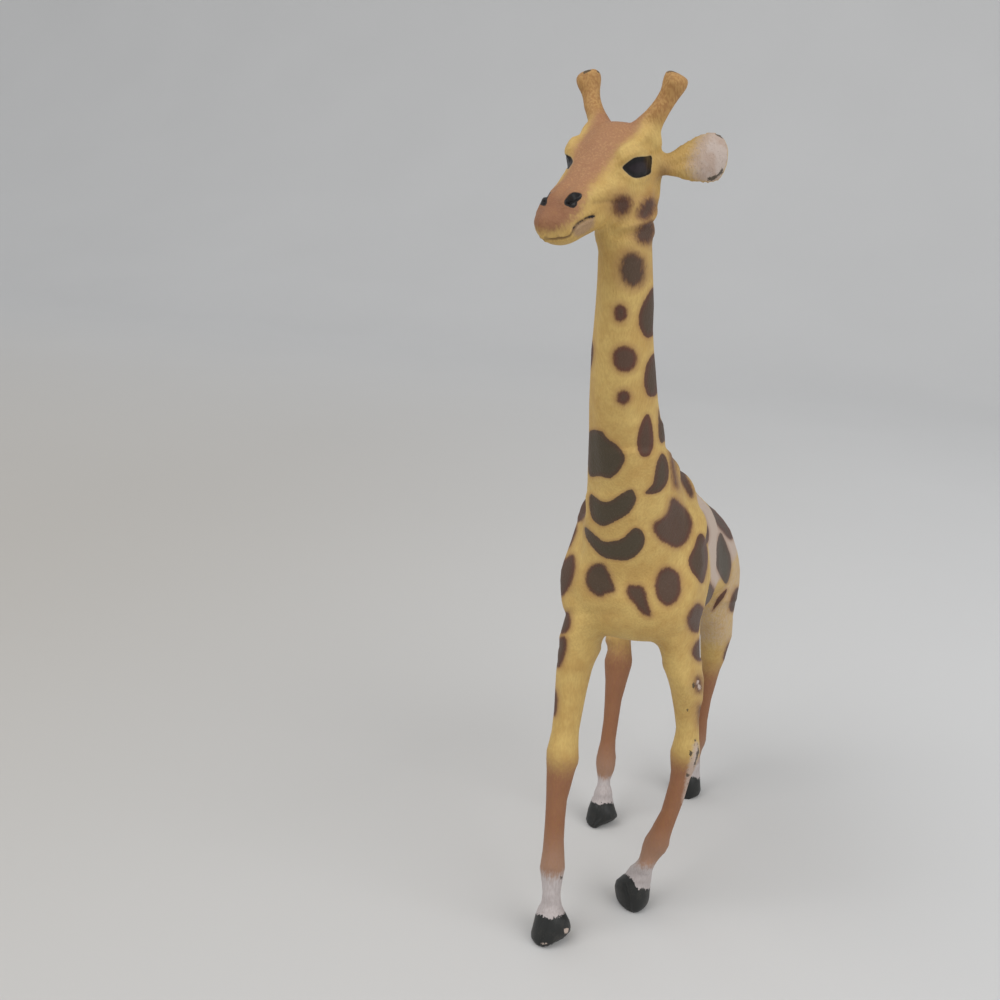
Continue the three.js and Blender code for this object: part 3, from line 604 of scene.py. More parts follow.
def fitOutline(points, name, weight):  # moves a limb's skin until its edges in the picture fit its rows
    rows = np.array([[np.nan if value is None else value for value in row] for row in outlines[name]])
    chosen = np.nonzero(weight > 0.01)[0]
    weight = weight[chosen]
    flat, scale = pixelsOf(points[chosen])
    across, down = flat[:, 0], flat[:, 1]
    depth = points[chosen] @ levelLook
    band = np.round(down / outlineFit["band"]).astype(int)
    first = band.min()
    band -= first
    full = weight > 0.5

    def extreme(values, sign):
        found = np.full(band.max() + 1, -np.inf)
        np.maximum.at(found, band[full], sign * values[full])
        known = np.isfinite(found)
        kept = np.pad(found[known], 1, mode="edge")
        calmed = kept[:-2] * 0.25 + kept[1:-1] * 0.5 + kept[2:] * 0.25
        return sign * np.interp(down, (np.nonzero(known)[0] + first) * outlineFit["band"], calmed)

    edges = [extreme(across, -1), extreme(across, 1)]
    steps = []
    for column, now in enumerate(edges, 1):
        known = np.isfinite(rows[:, column])
        if not known.any():
            steps.append(None)
            continue
        heights = rows[known, 0]
        usual = outlineFit["usualFade"]
        above = outlineFit["fade"].get(name, usual)
        fade = ramp(down, heights[0] - above, heights[0]) * ramp(down, heights[-1] + usual, heights[-1])
        steps.append((np.interp(down, heights, rows[known, column]) - now) * fade)
    for n in (0, 1):
        if steps[n] is None:
            steps[n] = steps[1 - n] * outlineFit["drag"].get(name, 0)
    width = np.maximum(edges[1] - edges[0], 2)
    t = np.clip((across - edges[0]) / width, 0, 1)
    move = ((1 - t) * steps[0] + t * steps[1]) * scale * weight
    middle = (extreme(depth, -1) + extreme(depth, 1)) / 2
    slimmer = np.clip((steps[1] - steps[0]) / width, *outlineFit["slimming"])
    share = outlineFit["depth"].get(name, outlineFit["legDepth"])
    slimmer *= share * weight * ramp(points[chosen, 2], *outlineFit["aboveHoof"])
    points[chosen] += camRight * move[:, None] + levelLook * ((depth - middle) * slimmer)[:, None]


def raiseAlong(points, normals, relief):  # returns the moved points, and how deep the fine grooves are
    form = reliefForm
    tree = treeOf(points)
    move = np.zeros(len(points))
    groove = np.zeros(len(points))
    for _, path, width, height, *rest in relief:
        more = rest[0] if rest else {}
        path = np.array(path, float)
        single = more.get("one") or abs(path[:, 0]).max() < 0.01
        for flip in ((1,) if single else (1, -1)):
            route = ontoSkin(path * np.array([flip, 1, 1]), tree)
            reach = form["reach"] * width
            low, high = route.min(0) - reach, route.max(0) + reach
            near = np.nonzero((points > low).all(1) & (points < high).all(1))[0]
            if len(near) == 0:
                continue
            distance, along = pathDistance(points[near], route)
            fade = np.minimum(ramp(along, *form["start"]), ramp(along, *form["end"]))
            if "notches" in more:
                wave = np.sin(along * more["notches"] * 2 * math.pi)
                fade = fade * (1 - form["notch"] + form["notch"] * wave)
            bell = fade * np.exp(-0.5 * (distance / width) ** 2)
            move[near] += height * bell
            # grooves narrower than this get painted shade, darker the deeper they are
            if height < 0 and width < form["groove"]:
                groove[near] = np.maximum(groove[near], bell * min(1, -height / form["groove"]))
    return points + normals * move[:, None], groove


def cleftLines():
    cleft = hoofForm["cleft"]
    return [("cleft", [(side, forward + toe * share, height) for share, height in cleft["line"]],
             cleft["width"], cleft["height"], {"one": True}) for side, forward, toe in hoofForm["feet"]]


def onHeadPart(local, low):
    return (local[:, 2] > low) & (local[:, 1] > headRoom["rear"])


def refineHead(piece):
    editMesh(piece, "FACE")
    stopEdit()
    headPoint = onHeadPart(fromHead(readPoints(piece)), headRoom["fineLow"])
    count = len(piece.data.polygons)
    loops = np.empty(count * 4, np.int32)
    piece.data.loops.foreach_get("vertex_index", loops)
    piece.data.polygons.foreach_set("select", headPoint[loops.reshape(-1, 4)].all(1))
    bpy.ops.object.mode_set(mode="EDIT")
    bpy.ops.mesh.subdivide(number_cuts=1, smoothness=0)
    stopEdit()


def trimSole(points, line):  # moves the lowest points back from the camera until they lie above the line
    line = np.array(line)
    chosen = np.nonzero(points[:, 2] < soleTrim["top"])[0]
    flat, scale = pixelsOf(points[chosen])
    beside = soleTrim["beside"]
    inside = (flat[:, 0] > line[0, 0] - beside) & (flat[:, 0] < line[-1, 0] + beside)
    below = flat[:, 1] - np.interp(flat[:, 0], line[:, 0], line[:, 1])
    inside &= below < soleTrim["below"]
    over = np.where(inside, 0.5 * (below + np.sqrt(below ** 2 + soleTrim["soft"])) - soleTrim["start"], 0)
    climb = camUp @ levelLook + (flat[:, 1] - pictureMiddle) / pictureScale * (camLook @ levelLook)
    points[chosen] += levelLook * (np.clip(over, 0, soleTrim["most"]) * scale / climb)[:, None]


def shapeBody(piece):
    writePoints(piece, toBack(pulled(fromBack(readPoints(piece)), bodyPulls)))


def fitLimbs(piece):
    points = readPoints(piece)
    for name, weight in limbWeights(points).items():
        fitOutline(points, name, weight)
    for line in soleLines:
        trimSole(points, line)
    points[:, 2] = np.where(points[:, 2] < hoofForm["flat"], 0, points[:, 2])
    writePoints(piece, points)


def shapeHead(piece):
    points = readPoints(piece)
    local = fromHead(points)
    near = onHeadPart(local, headRoom["low"])
    points[near] = toScene(pulled(local[near], headPulls))
    writePoints(piece, points)


def carveBody(piece):
    points, normals = readPoints(piece), readNormals(piece)
    back, _ = raiseAlong(fromBack(points), normals * flipped, bodyRelief + cleftLines())
    points = toBack(back)
    _, _, _, hoof, _ = legFields(points, facingOf(points, normals))
    out = hoofForm["step"] * ramp(hoof, *hoofForm["stepEase"])
    low, high = hoofForm["round"]
    for side, forward, toe in hoofForm["feet"]:
        away = back[:, :2] - np.array([side, forward])
        reach = np.linalg.norm(away, axis=1)
        turned = (away @ np.array(hoofForm["heelWay"])) / np.maximum(reach, 0.01)
        radius = low + (high - low) * ramp(turned, *hoofForm["roundEase"])
        inset = radius - np.sqrt(np.maximum(radius ** 2 - np.clip(radius - back[:, 2], 0, None) ** 2, 0))
        out -= np.where(reach < toe * hoofForm["roundReach"], inset * hoofForm["roundShare"], 0)
    outward = normals * np.array([1, 1, 0])
    outward /= np.maximum(np.linalg.norm(outward, axis=1), 0.3)[:, None]
    writePoints(piece, points + outward * out[:, None])


def seenPath(pixels, tree):  # where a line of the picture lies on the head
    hits = [tree.ray_cast(Vector(picture["eye"]), rayAt(x, y))[0] for x, y in pixels]
    return fromHead(np.array([hit for hit in hits if hit is not None]))


def carveHead(piece, fields):
    points = readPoints(piece)
    slit = seenPath(mouth, skinTree(piece))
    slit[0, 0] = 0
    lips = [("lips", slit + np.array([0, 0, lift]), width, height) for lift, width, height in mouthRelief]
    nearHead = np.nonzero(onHeadPart(fromHead(points), headRoom["low"]))[0]
    groove = np.zeros(len(points))
    for chosen in (headRelief[:2], headRelief[2:] + lips):
        normals = (readNormals(piece)[nearHead] @ headTurn) * flipped
        local, deep = raiseAlong(fromHead(points[nearHead]), normals, chosen)
        points[nearHead] = toScene(local)
        groove[nearHead] = np.maximum(groove[nearHead], deep)
        writePoints(piece, points)
    sink = sum(deep * ramp(fields[name], -0.1, full) for name, (deep, full) in holeDepth.items())
    writePoints(piece, points - readNormals(piece) * sink[:, None])
    return groove


def skinTree(piece):
    points = readPoints(piece)
    faces = [tuple(face.vertices) for face in piece.data.polygons]
    return BVHTree.FromPolygons([tuple(p) for p in points], faces)


def carve(piece):
    modify(piece, "REMESH", mode="VOXEL", voxel_size=skinForm["voxel"] * mm, use_smooth_shade=True)
    shapeBody(piece)
    carveBody(piece)
    fitLimbs(piece)
    shapeHead(piece)
    weight, rounds = skinForm["calm"]
    smooth(piece, np.full(len(piece.data.vertices), weight), rounds)
    refineHead(piece)
    weight, rounds = skinForm["headCalm"]
    smooth(piece, ramp(readPoints(piece)[:, 2], *skinForm["headFrom"]) * weight, rounds)
    calm = readPoints(piece)
    fields = faceHoles(calm, readNormals(piece), skinTree(piece))
    fields["groove"] = carveHead(piece, fields)
    print("relief carved:", len(calm), "points")
    return calm, fields


# paint: each coat of paint is a field on the skin's points, in millimetres inside its edge or from 0 to 1

spotPaint = {"faint": 1.5, "soft": 1.0, "middle": 0.45, "crisp": 0.16}  # half width of the sprayed edge
spots = [  # outline in the picture's pixels, edge, and how black the brown is
    ([(661, 167), (666, 166.5), (669, 170), (667, 175.5), (663, 177.5), (660, 174)], "faint", 0),
    ([(622, 195), (631, 199), (630, 210), (621, 216), (613, 211), (614, 200)], "soft", 0.1),
    ([(650, 197), (656, 203), (654, 213), (647, 220), (640, 219), (638, 211), (643, 202)], "soft", 0.2),
    ([(652, 220), (656, 231), (651, 243), (643, 244), (636, 238), (637, 229), (645, 222)], "soft", 0.3),
    ([(633, 252), (643, 259), (645, 271), (642, 283), (632, 287), (623, 281), (620, 268), (624, 256)],
     "soft", 0.5),
    ([(620, 304), (626, 308), (627, 316), (621, 322), (615, 319), (614, 309)], "middle", 0.2),
    ([(655, 287), (645, 299), (639, 314), (640, 328), (647, 338), (655, 332), (661, 310)], "crisp", 0.5),
    ([(624, 346), (634, 350), (637, 360), (632, 370), (622, 372), (614, 365), (614, 351)], "middle", 0.2),
    ([(657, 352), (648, 361), (644, 378), (646, 392), (651, 397), (658, 392), (662, 370)], "crisp", 0.5),
    ([(624, 390), (630, 394), (629, 401), (623, 405), (617, 401), (618, 393)], "middle", 0.2),
    ([(647, 414), (651, 420), (653.5, 440), (651, 453), (645, 457), (639, 453), (637, 440), (641, 424)],
     "crisp", 0.3),
    ([(588, 434), (601, 431), (607, 438), (618, 446), (625, 458), (619, 471), (610, 478), (600, 476),
     (588, 473)], "crisp", 0.9),
    ([(662, 453), (668, 463), (668, 480), (661, 491), (653, 494), (645, 493), (653, 483), (656, 466)],
     "crisp", 0.7),
    ([(590, 494), (601, 501), (610, 501), (621, 494), (631, 489), (635, 494), (636, 501), (629, 513),
     (616, 521), (604, 526), (595, 522), (590, 512)], "crisp", 1),
    ([(585, 527), (593, 533), (603, 541), (613, 541), (623, 538), (634, 528), (642, 531), (645, 541),
     (639, 553), (628, 560), (616, 560), (603, 557), (593, 548), (586, 537)], "crisp", 1),
    ([(672, 498), (680, 503), (689, 513), (692.5, 524), (687, 541), (677, 548), (669, 545), (658, 538),
     (653, 525), (666, 514)], "middle", 0.3),
    ([(600, 563), (606, 567), (613, 582), (615, 591), (606, 594), (600, 597), (590, 591), (585, 579),
     (590, 567)], "middle", 0.6),
    ([(634, 585), (643, 587), (648, 602), (651, 616), (643, 614), (634, 604), (627, 594), (628, 586)],
     "middle", 0.4),
    ([(696, 677.5), (700, 677), (702, 684), (700, 692.5), (696.5, 691.5), (694.5, 686)], "soft", 0.1),
    ([(658.8, 409), (660.5, 419), (664.5, 423), (667, 432), (665.5, 440), (661.5, 443), (659, 438),
     (658.3, 425)], "crisp", 0.8),
    ([(668, 567), (678, 573), (681, 586), (678, 599), (668, 606), (658, 599), (655, 585), (659, 572)],
     "middle", 0.3),
    ([(699, 534), (694, 547), (688.5, 560), (691, 570), (696, 577), (703, 583), (708, 560), (705, 538)],
     "crisp", 0.5),
    ([(698, 603), (690, 611), (687, 620), (690, 630), (697, 633), (703, 626), (706, 612)], "middle", 0.3),
    ([(701, 638), (694, 645), (692, 653), (695, 659), (701, 661), (705, 650)], "middle", 0.3),
    ([(572, 554), (575.5, 564), (573, 579), (567, 591), (560, 597), (556, 585), (559, 566)], "middle", 0.3),
    ([(568, 612), (571, 620), (569, 630), (562, 634), (557, 627), (560, 615)], "middle", 0.3),
    ([(563, 636), (567, 643), (565, 655), (560, 667), (551, 664), (552, 646)], "middle", 0.3),
    ([(553, 688), (557, 694), (557.5, 706), (555, 716), (551, 708)], "middle", 0.2),
    ([(699, 706), (702, 708), (702, 722), (699.5, 724), (698, 714)], "soft", 0.1),
    ([(593, 276), (597, 285), (596.5, 300), (593, 312), (588, 296)], "crisp", 0.5),
    ([(590, 338), (593.5, 348), (592, 364), (588, 372), (584, 355)], "crisp", 0.5),
    ([(575, 520), (577, 530), (571, 545), (567, 548), (568, 532)], "middle", 0.4),
]
farSpots = [  # on the far shoulder, the flank and the back, seen past the neck and the near shoulder
    ([(587, 489), (588, 500), (586, 514), (581, 521), (576, 521), (579, 508), (583, 496)], "middle", 0.4),
    ([(670, 453), (674, 460), (676, 472), (678, 487), (674, 484), (671, 470)], "soft", 0.1),
    ([(676, 460), (681, 464), (687, 477), (693, 490), (692, 498), (687, 493), (680, 479)], "middle", 0.5),
    ([(703, 500), (709, 504), (718, 513), (727, 524), (733, 537), (729, 539), (721, 530), (711, 517)],
     "middle", 0.5),
    ([(701, 512), (705, 519), (709, 532), (707, 544), (702, 538), (699, 525)], "crisp", 0.6),
    ([(720, 533), (717, 543), (715.5, 560), (718, 571), (726, 584), (730.5, 572), (731, 559), (727.5, 547),
     (723, 536)], "crisp", 0.9),
    ([(703, 578), (710, 582), (715, 592), (712, 602), (704, 607), (697, 595)], "middle", 0.5),
    ([(727, 589), (724, 597), (716, 607), (712, 611), (717, 599), (723, 592)], "crisp", 0.4),
    ([(738, 587), (741, 596), (738, 606), (732, 612), (729, 607), (732, 595)], "middle", 0.5),
    ([(733, 640), (731, 650), (726, 660), (723, 658), (727, 645)], "middle", 0.3),
]
darkMarks = [  # bits of black paint, and dark rims of bare patches
    [(584, 70), (590, 69), (591, 71), (586, 73), (583, 76)],
    [(597, 70), (600, 71), (599, 73), (597, 72)],
    [(668, 70), (676, 70), (679, 73), (672, 72), (667, 73)],
    [(708, 178), (716, 175), (722, 168), (723, 172), (716, 179), (709, 181)],
    [(714, 132), (722, 134), (724, 138), (718, 136)],
    [(559.5, 876), (562.5, 877), (561, 880)],
    [(690, 750), (693, 753), (691, 757), (689, 754)],
    [(692, 684), (694, 683), (695, 687), (693, 688.5)],
    [(686.8, 709), (688.4, 709.4), (688, 711.4), (686.8, 711)],
    [(694.2, 739), (696, 739.4), (695.6, 741.6), (694.2, 741)],
    [(698, 747), (699, 753), (695, 765), (693, 769), (695, 760)],
    [(686, 773), (690, 775), (687, 777)],
]
paintedHighlightMarks = [  # a painted highlight: a pale strip down the front left leg's edge
    [(696, 741), (699.5, 746), (699.5, 756), (698, 766), (694, 776), (690, 787), (686.5, 797), (683, 803),
     (681.5, 800), (684, 789), (685.5, 779), (687.5, 768), (690.5, 756), (693, 746)],
]
bareMarks = [  # the plastic shows
    [(696.8, 680.3), (698.8, 680.8), (698.5, 684.2), (696.8, 684)],
    [(698, 685.2), (700.4, 685.6), (700, 689.7), (697.8, 689.2)],
    [(697, 747), (698.5, 753), (695, 763), (693, 766), (694.5, 756)],
    [(564.3, 928.8), (568.2, 928.4), (568, 932.3), (565, 933.2)],
    [(541.5, 942.6), (547, 943), (546.5, 944.4), (542, 944.2)],
]

legPaint = {  # where the coat turns brown and then white, the hoof's top, and its rise forwards and sideways
    "frontRight": ((67, 49), (27, 18), 9.3, (0.0, 0.0)),
    "frontLeft": ((66, 50), (22.5, 15), 9.0, (0.28, -0.22)),
    "hindRight": ((78, 54), (20.5, 14.5), 8.6, (0.0, 0.0)),
    "hindLeft": ((68, 44), (19, 11), 7.4, (0.0, 0.0)),
}
hoofEdges = [  # the hooves' top edges in the picture
    [(535, 914), (541, 915.5), (547, 918), (551, 919.5), (554, 917.5), (560, 916.5), (565.5, 912.5)],
    [(625, 873), (629.5, 877), (633.5, 880.5), (635, 885), (637.5, 888.5), (650, 889)],
    [(590.5, 801), (595, 803.3), (598, 805), (601, 803.7), (605, 803), (613, 803.2)],
    [(692, 776.5), (700, 778.5)],
]
coatPattern = {  # the spots that the picture doesn't show
    "torso": 13.5,  # spacing
    "neck": 10.5,
    "leg": 9.0,
    "neckFrom": (138, 152),
    "legFrom": (92, 80),
    "heights": (56, 200),
    "lowest": 50,
    "highest": 203,
    "belly": (-0.75, 82),  # no spots where the skin faces down this much, above this height
    "gap": 0.24,
    "size": 0.42,
    "apart": 0.5,  # share of the spacing that is kept from the sprayed spots
    "wobble": 0.55,
    "seed": 7,
    "tries": 9000,
    "toneSeed": 3,
    "tones": (0.2, 0.8),
}
deepest = 3  # fields in millimetres are cut off at this depth
sprayForm = {
    "core": 0.7,  # rays go to the outline's middle and this share of the way to its corners
    "reach": (1.3, 3),  # paint is laid this many sizes and millimetres around the place that they hit
    "facing": -0.55,  # how far round an edge it goes
    "every": 3,  # one point in three is tested for being in view
    "slack": 0.8,
}
legTop, tailEnd = 86, 42  # the legs' paint reaches up to the first; below the second there is no tail
fadedBand = (15, 2)  # how far above the white the brown pales


def facingOf(points, normals):  # 1 where the skin faces the camera, 0 at an edge, less behind
    toEye = np.array(picture["eye"]) - points
    return (normals * toEye).sum(1) / np.linalg.norm(toEye, axis=1)


def sprayedSpots(points, normals, tree, entries, far):  # far: on the last skin behind the outline
    flat, scale = pixelsOf(points)
    facing = facingOf(points, normals)
    depth = np.full(len(points), -9.0)
    edge = np.full(len(points), spotPaint["middle"])
    tone = np.full(len(points), 0.3)
    for outline, kind, black in entries:
        loop = roundedLoop(outline)
        middle = loop.mean(0)
        hits = []
        for x, y in [middle, *(middle + (np.array(outline) - middle) * sprayForm["core"])]:
            hit = tree.ray_cast(Vector(picture["eye"]), rayAt(x, y))
            if hit[0] is not None:
                hits.append((hit[3], np.array(hit[0])))
        if not hits:
            continue
        hits.sort(key=lambda item: item[0])
        at = hits[-1][1] if far else hits[0][1]
        away = ((points - at) ** 2).sum(1)
        sizes, more = sprayForm["reach"]
        reach = np.ptp(loop, axis=0).max() * scale[np.argmin(away)] * sizes + more
        chosen = np.nonzero((away < reach ** 2) & (facing > sprayForm["facing"]))[0]
        inside = insideBy(flat[chosen], loop) * scale[chosen]
        better = inside > depth[chosen]
        chosen, inside = chosen[better], inside[better]
        depth[chosen] = inside
        edge[chosen] = spotPaint[kind]
        tone[chosen] = black
    return depth, edge, tone


def outlineDepth(points, normals, tree, outlines):  # how far inside any of the outlines each point is
    entries = [(outline, "middle", 0) for outline in outlines]
    return np.clip(sprayedSpots(points, normals, tree, entries, False)[0], -deepest, deepest)


def seenFromEye(points, normals, tree):  # what the camera has in view
    eye = Vector(picture["eye"])
    toEye = np.array(eye) - points
    facing = (normals * toEye).sum(1)
    seen = np.zeros(len(points), bool)
    for i in np.nonzero(facing > 0)[0][::sprayForm["every"]]:
        ray = Vector(points[i]) - eye
        reach = ray.length
        hit = tree.ray_cast(eye, ray / reach, reach - sprayForm["slack"])
        seen[i] = hit[0] is None
    return seen


def coatOfSpots(points, normals, tree):
    form = coatPattern
    near = sprayedSpots(points, normals, tree, spots, False)
    far = sprayedSpots(points, normals, tree, farSpots, True)
    closer = far[0] > near[0]
    depth, edge, tone = [np.where(closer, f, n) for f, n in zip(far, near)]
    seen = seenFromEye(points, normals, tree)
    z = points[:, 2]
    spacing = form["torso"] + (form["neck"] - form["torso"]) * ramp(z, *form["neckFrom"])
    spacing += (form["leg"] - spacing) * ramp(z, *form["legFrom"])
    belly = (normals[:, 2] < form["belly"][0]) & (z > form["belly"][1])
    low, high = form["heights"]
    allowed = (~seen) & (depth < -1) & (z > low) & (z < high) & ~belly
    taken = np.nonzero(seen | (depth > -1))[0]
    wall = treeOf(points[taken])
    order = np.random.default_rng(form["seed"]).permutation(np.nonzero(allowed)[0])[:form["tries"]]
    seeds = []
    for i in order:
        if wall.find(points[i])[2] < spacing[i] * form["apart"]:
            continue
        if seeds and ((points[seeds] - points[i]) ** 2).sum(1).min() < spacing[i] ** 2:
            continue
        seeds.append(i)
    centres = points[seeds]
    wobble = np.stack([np.sin(points[:, (k + 1) % 3] * 0.9 + k) + np.sin(points[:, (k + 2) % 3] * 1.7 + 2 * k)
                       for k in range(3)], 1) * form["wobble"]
    moved = points + wobble
    ranked = np.full((len(points), 2), 1e9)
    owner = np.zeros(len(points), int)
    for n, centre in enumerate(centres):
        d = np.linalg.norm(moved - centre, axis=1)
        first = d < ranked[:, 0]
        ranked[:, 1] = np.where(first, ranked[:, 0], np.minimum(ranked[:, 1], d))
        ranked[:, 0] = np.where(first, d, ranked[:, 0])
        owner[first] = n
    patch = np.minimum((ranked[:, 1] - ranked[:, 0]) / 2 - form["gap"] * spacing / 2,
                       form["size"] * spacing - ranked[:, 0])
    patch = np.where(seen | (z < form["lowest"]) | (z > form["highest"]), -9, patch)
    mixed = patch > depth
    tones = np.random.default_rng(form["toneSeed"]).uniform(*form["tones"], len(centres))
    depth = np.where(mixed, patch, depth)
    edge = np.where(mixed, spotPaint["middle"], edge)
    tone = np.where(mixed, tones[owner], tone)
    print("spots:", len(spots) + len(farSpots), "sprayed and", len(seeds), "on the far side")
    return np.clip(depth, -deepest, deepest), edge, tone


def legFields(points, facing):
    back = fromBack(points)
    side, forward, z = back[:, 0], back[:, 1], back[:, 2]
    flat, scale = pixelsOf(points)
    inView = ramp(facing, -0.05, 0.2)
    left, front = side > limbRoom["middle"], forward > 0
    tail, _ = pathDistance(points, tailPath)
    leg = (z < legTop) & ((tail > limbRoom["tail"]) | (z < tailEnd))
    brown, white, faded = np.zeros((3, len(z)))
    hoof = np.full(len(z), float(-deepest))
    for (key, entry), foot, pixels in zip(legPaint.items(), hoofForm["feet"], hoofEdges):
        tan, pale, edge, (rise, lean) = entry
        here = leg & (front == ("front" in key)) & (left == ("Left" in key))
        brown[here] = ramp(z, *tan)[here]
        white[here] = ramp(z, *pale)[here]
        faded[here] = ramp(z, pale[0] + fadedBand[0], pale[1] + fadedBand[1])[here]
        slope = rise * (forward - foot[1]) + lean * (side - foot[0])
        line = np.array(pixels)
        below = (flat[:, 1] - np.interp(flat[:, 0], line[:, 0], line[:, 1])) * scale
        hoof[here] = np.clip(below * inView + (edge + slope - z) * (1 - inView), -deepest, deepest)[here]
    return brown, white, faded, hoof, tail


facePlaces = {  # side, forward, up
    "face": ((-19, -17), (-20, -17)),  # where the face's paint begins, up and forward
    "head": ((-19, -15), (-26, -22)),
    "holes": -20,
    "eyeRoom": (5.4, 7, 6),
    "bridge": [(0, -8, 9.5), (0, -4, 9), (0, 1, 6.2), (0, 5.5, 1.2), (0, 10.5, -3.6), (0, 15.5, -7.4),
               (0, 20, -10), (0, 21.5, -13)],
    "bridgeWidth": ([0, 0.15, 0.35, 0.6, 0.8, 1], [5.0, 6.4, 5.4, 4.2, 6.2, 5.6]),
    "bridgeEase": (2.4, -2.2),
    "pinkTop": (-16.4, -12.6),
    "muzzle": (9, 17),
    "lips": 0.24,  # half width of the dark line
    "lipCorner": 0.14,
    "horn": [(5.2, -5.4, 6.6), (8.0, -5.4, 12.0), (11.4, -5.4, 20)],
    "hornReach": (6, 4),
    "hornFoot": (7, 11.5),
    "earFoot": (9.2, 10.6),
    "earFront": (-6, -8),
    "earWay": (0.45, 0.88, 0.12),  # the way its hollow faces
    "earInside": (11.2, 18.6),
    "earTurn": (0.0, 0.8),
}
bodyPlaces = {  # side, forward, height
    "maneWidth": 1.9,
    "maneRoom": (5, 138),
    "flank": [(15, 6, 128), (18, 0, 114), (18, -12, 114), (17, -26, 116), (18, -38, 118)],
    "flankReach": (19, 9),
    "flankLimits": ((7, 12), (20, 15), (96, 104)),
    # painted light: the hind legs' tops are painted paler, as if lit
    "thighPaintedLight": 0.5,
    "thighPaintedLightLimits": ((-20, -30), (112, 100), (58, 72)),
    "tuft": (70, 62, 3),  # behind this place; top; how many millimetres its edge is soft
}


def halves(local):  # both sides as one
    return np.abs(local[:, 0]), local[:, 1], local[:, 2]


def faceHoles(points, normals, tree):  # how far inside the eyes and nostrils each point is
    local = fromHead(points)
    side, forward, up = halves(local)
    hidden = np.full(len(points), float(-deepest))
    least, long, high = facePlaces["eyeRoom"]
    near = (side > least) & (np.abs(forward) < long) & (np.abs(up) < high) & (facingOf(points, normals) < 0)
    hidden[near] = insideBy(local[near][:, 1:], roundedLoop(eyeOutline))
    seen, holes = [outlineDepth(points, normals, tree, outlines) for outlines in (eyes, nostrils)]
    onFace = (up > facePlaces["holes"]) & (forward > facePlaces["holes"])
    eye = np.clip(np.maximum(hidden, seen), -deepest, deepest)
    return {"eye": np.where(onFace, eye, -deepest), "nostril": np.where(onFace, holes, -deepest)}


def facePaint(local, tree, whole):
    form = facePlaces
    side, forward, up = halves(local)
    low, back = form["face"]
    onFace = ramp(up, *low) * ramp(forward, *back)
    bridge, along = pathDistance(np.stack([side, forward, up], 1), form["bridge"])
    width = np.interp(along, *form["bridgeWidth"])
    far, near = form["bridgeEase"]
    result = {
        "pink": ramp(bridge, width + far, width + near) * onFace * ramp(up, *form["pinkTop"]),
        "muzzle": ramp(forward, *form["muzzle"]) * onFace,
    }
    for name, pixels in (("lips", mouth), ("lipCorner", mouthCorner)):
        path = seenPath(pixels, whole)
        each = [pathDistance(local, ontoSkin(path * np.array([flip, 1, 1]), tree))[0] for flip in (1, -1)]
        inside = np.clip(form[name] - np.minimum(*each), -deepest, deepest)
        result[name] = np.where(onFace > 0.5, inside, -deepest)
    return result


def earField(local, normals, head):
    side, forward, up = halves(local)
    ear = ramp(side, *facePlaces["earFoot"]) * ramp(forward, *facePlaces["earFront"]) * head
    out, ahead, above = facePlaces["earWay"]
    turned = (normals @ headTurn) * flipped
    facing = turned[:, 0] * np.sign(local[:, 0]) * out + turned[:, 1] * ahead + turned[:, 2] * above
    return ear * ramp(facing, *facePlaces["earTurn"]) * ramp(side, *facePlaces["earInside"])


def hornField(local):
    folded = np.stack(halves(local), 1)
    distance, _ = pathDistance(folded, facePlaces["horn"])
    return ramp(distance, *facePlaces["hornReach"]) * ramp(local[:, 2], *facePlaces["hornFoot"])


def maneField(points):
    back = fromBack(points)
    side, low = bodyPlaces["maneRoom"]
    near = (np.abs(back[:, 0]) < side) & (back[:, 2] > low)
    distance = np.full(len(points), 9.0)
    route = ontoSkin(napeLine, treeOf(back[near]))
    distance[near], _ = pathDistance(back[near], route)
    return np.clip(bodyPlaces["maneWidth"] - distance, -deepest, deepest)


def paleField(points):
    side, forward, z = halves(fromBack(points))
    patch, _ = pathDistance(np.stack([side, forward, z], 1), bodyPlaces["flank"])
    out, front, low = bodyPlaces["flankLimits"]
    flank = ramp(patch, *bodyPlaces["flankReach"]) * ramp(side, *out) * ramp(forward, *front) * ramp(z, *low)
    # painted light: the thighs are painted paler, as if lit
    front, top, low = bodyPlaces["thighPaintedLightLimits"]
    thighPaintedLight = bodyPlaces["thighPaintedLight"] * ramp(forward, *front) * ramp(z, *top) * ramp(z, *low)
    return np.maximum(flank, thighPaintedLight)


def store(piece, name, values):
    attribute = piece.data.attributes.new(name, "FLOAT", "POINT")
    attribute.data.foreach_set("value", np.ascontiguousarray(values, np.float32))


def paintSkin(piece, calm, fields):
    points, normals = readPoints(piece), readNormals(piece)
    tree = skinTree(piece)
    depth, edge, tone = coatOfSpots(points, normals, tree)
    local = fromHead(calm)
    (low, full), (rear, front) = facePlaces["head"]
    onHeadNow = (local[:, 2] > facePlaces["holes"]) & (local[:, 1] > front)
    head = ramp(local[:, 2], low, full) * ramp(local[:, 1], rear, front)
    brown, white, faded, hoof, tail = legFields(points, facingOf(points, normals))
    marks = {"mark": darkMarks, "bare": bareMarks, "paintedHighlight": paintedHighlightMarks, "lipPatch": [lipPatch]}
    for name, outlines in marks.items():
        fields[name] = outlineDepth(points, normals, tree, outlines)
    behind, top, ease = bodyPlaces["tuft"]
    onTail = (tail < limbRoom["tail"]) & (points[:, 1] > behind)
    tuft = np.where(onTail, (top - points[:, 2]) / ease, -deepest)
    fields.update({
        "spot": depth, "spotEdge": edge, "spotTone": tone, "earInside": earField(local, normals, head),
        "horn": hornField(local), "mane": np.maximum(maneField(points), np.clip(tuft, -deepest, deepest)),
        "brown": brown, "white": white, "faded": faded, "hoof": hoof, "pale": paleField(points), "head": head,
    })
    fields.update(facePaint(local, treeOf(local[onHeadNow]), tree))
    for name, values in fields.items():
        store(piece, name, values)
    print("paint fields:", len(fields))


calm, fields = carve(skin)
paintSkin(skin, calm, fields)


# cutting the skin into the mouldings, at their joints

def headWay(x, y, z):
    return (headPlace.to_3x3() @ Vector((x, y, z))).normalized()


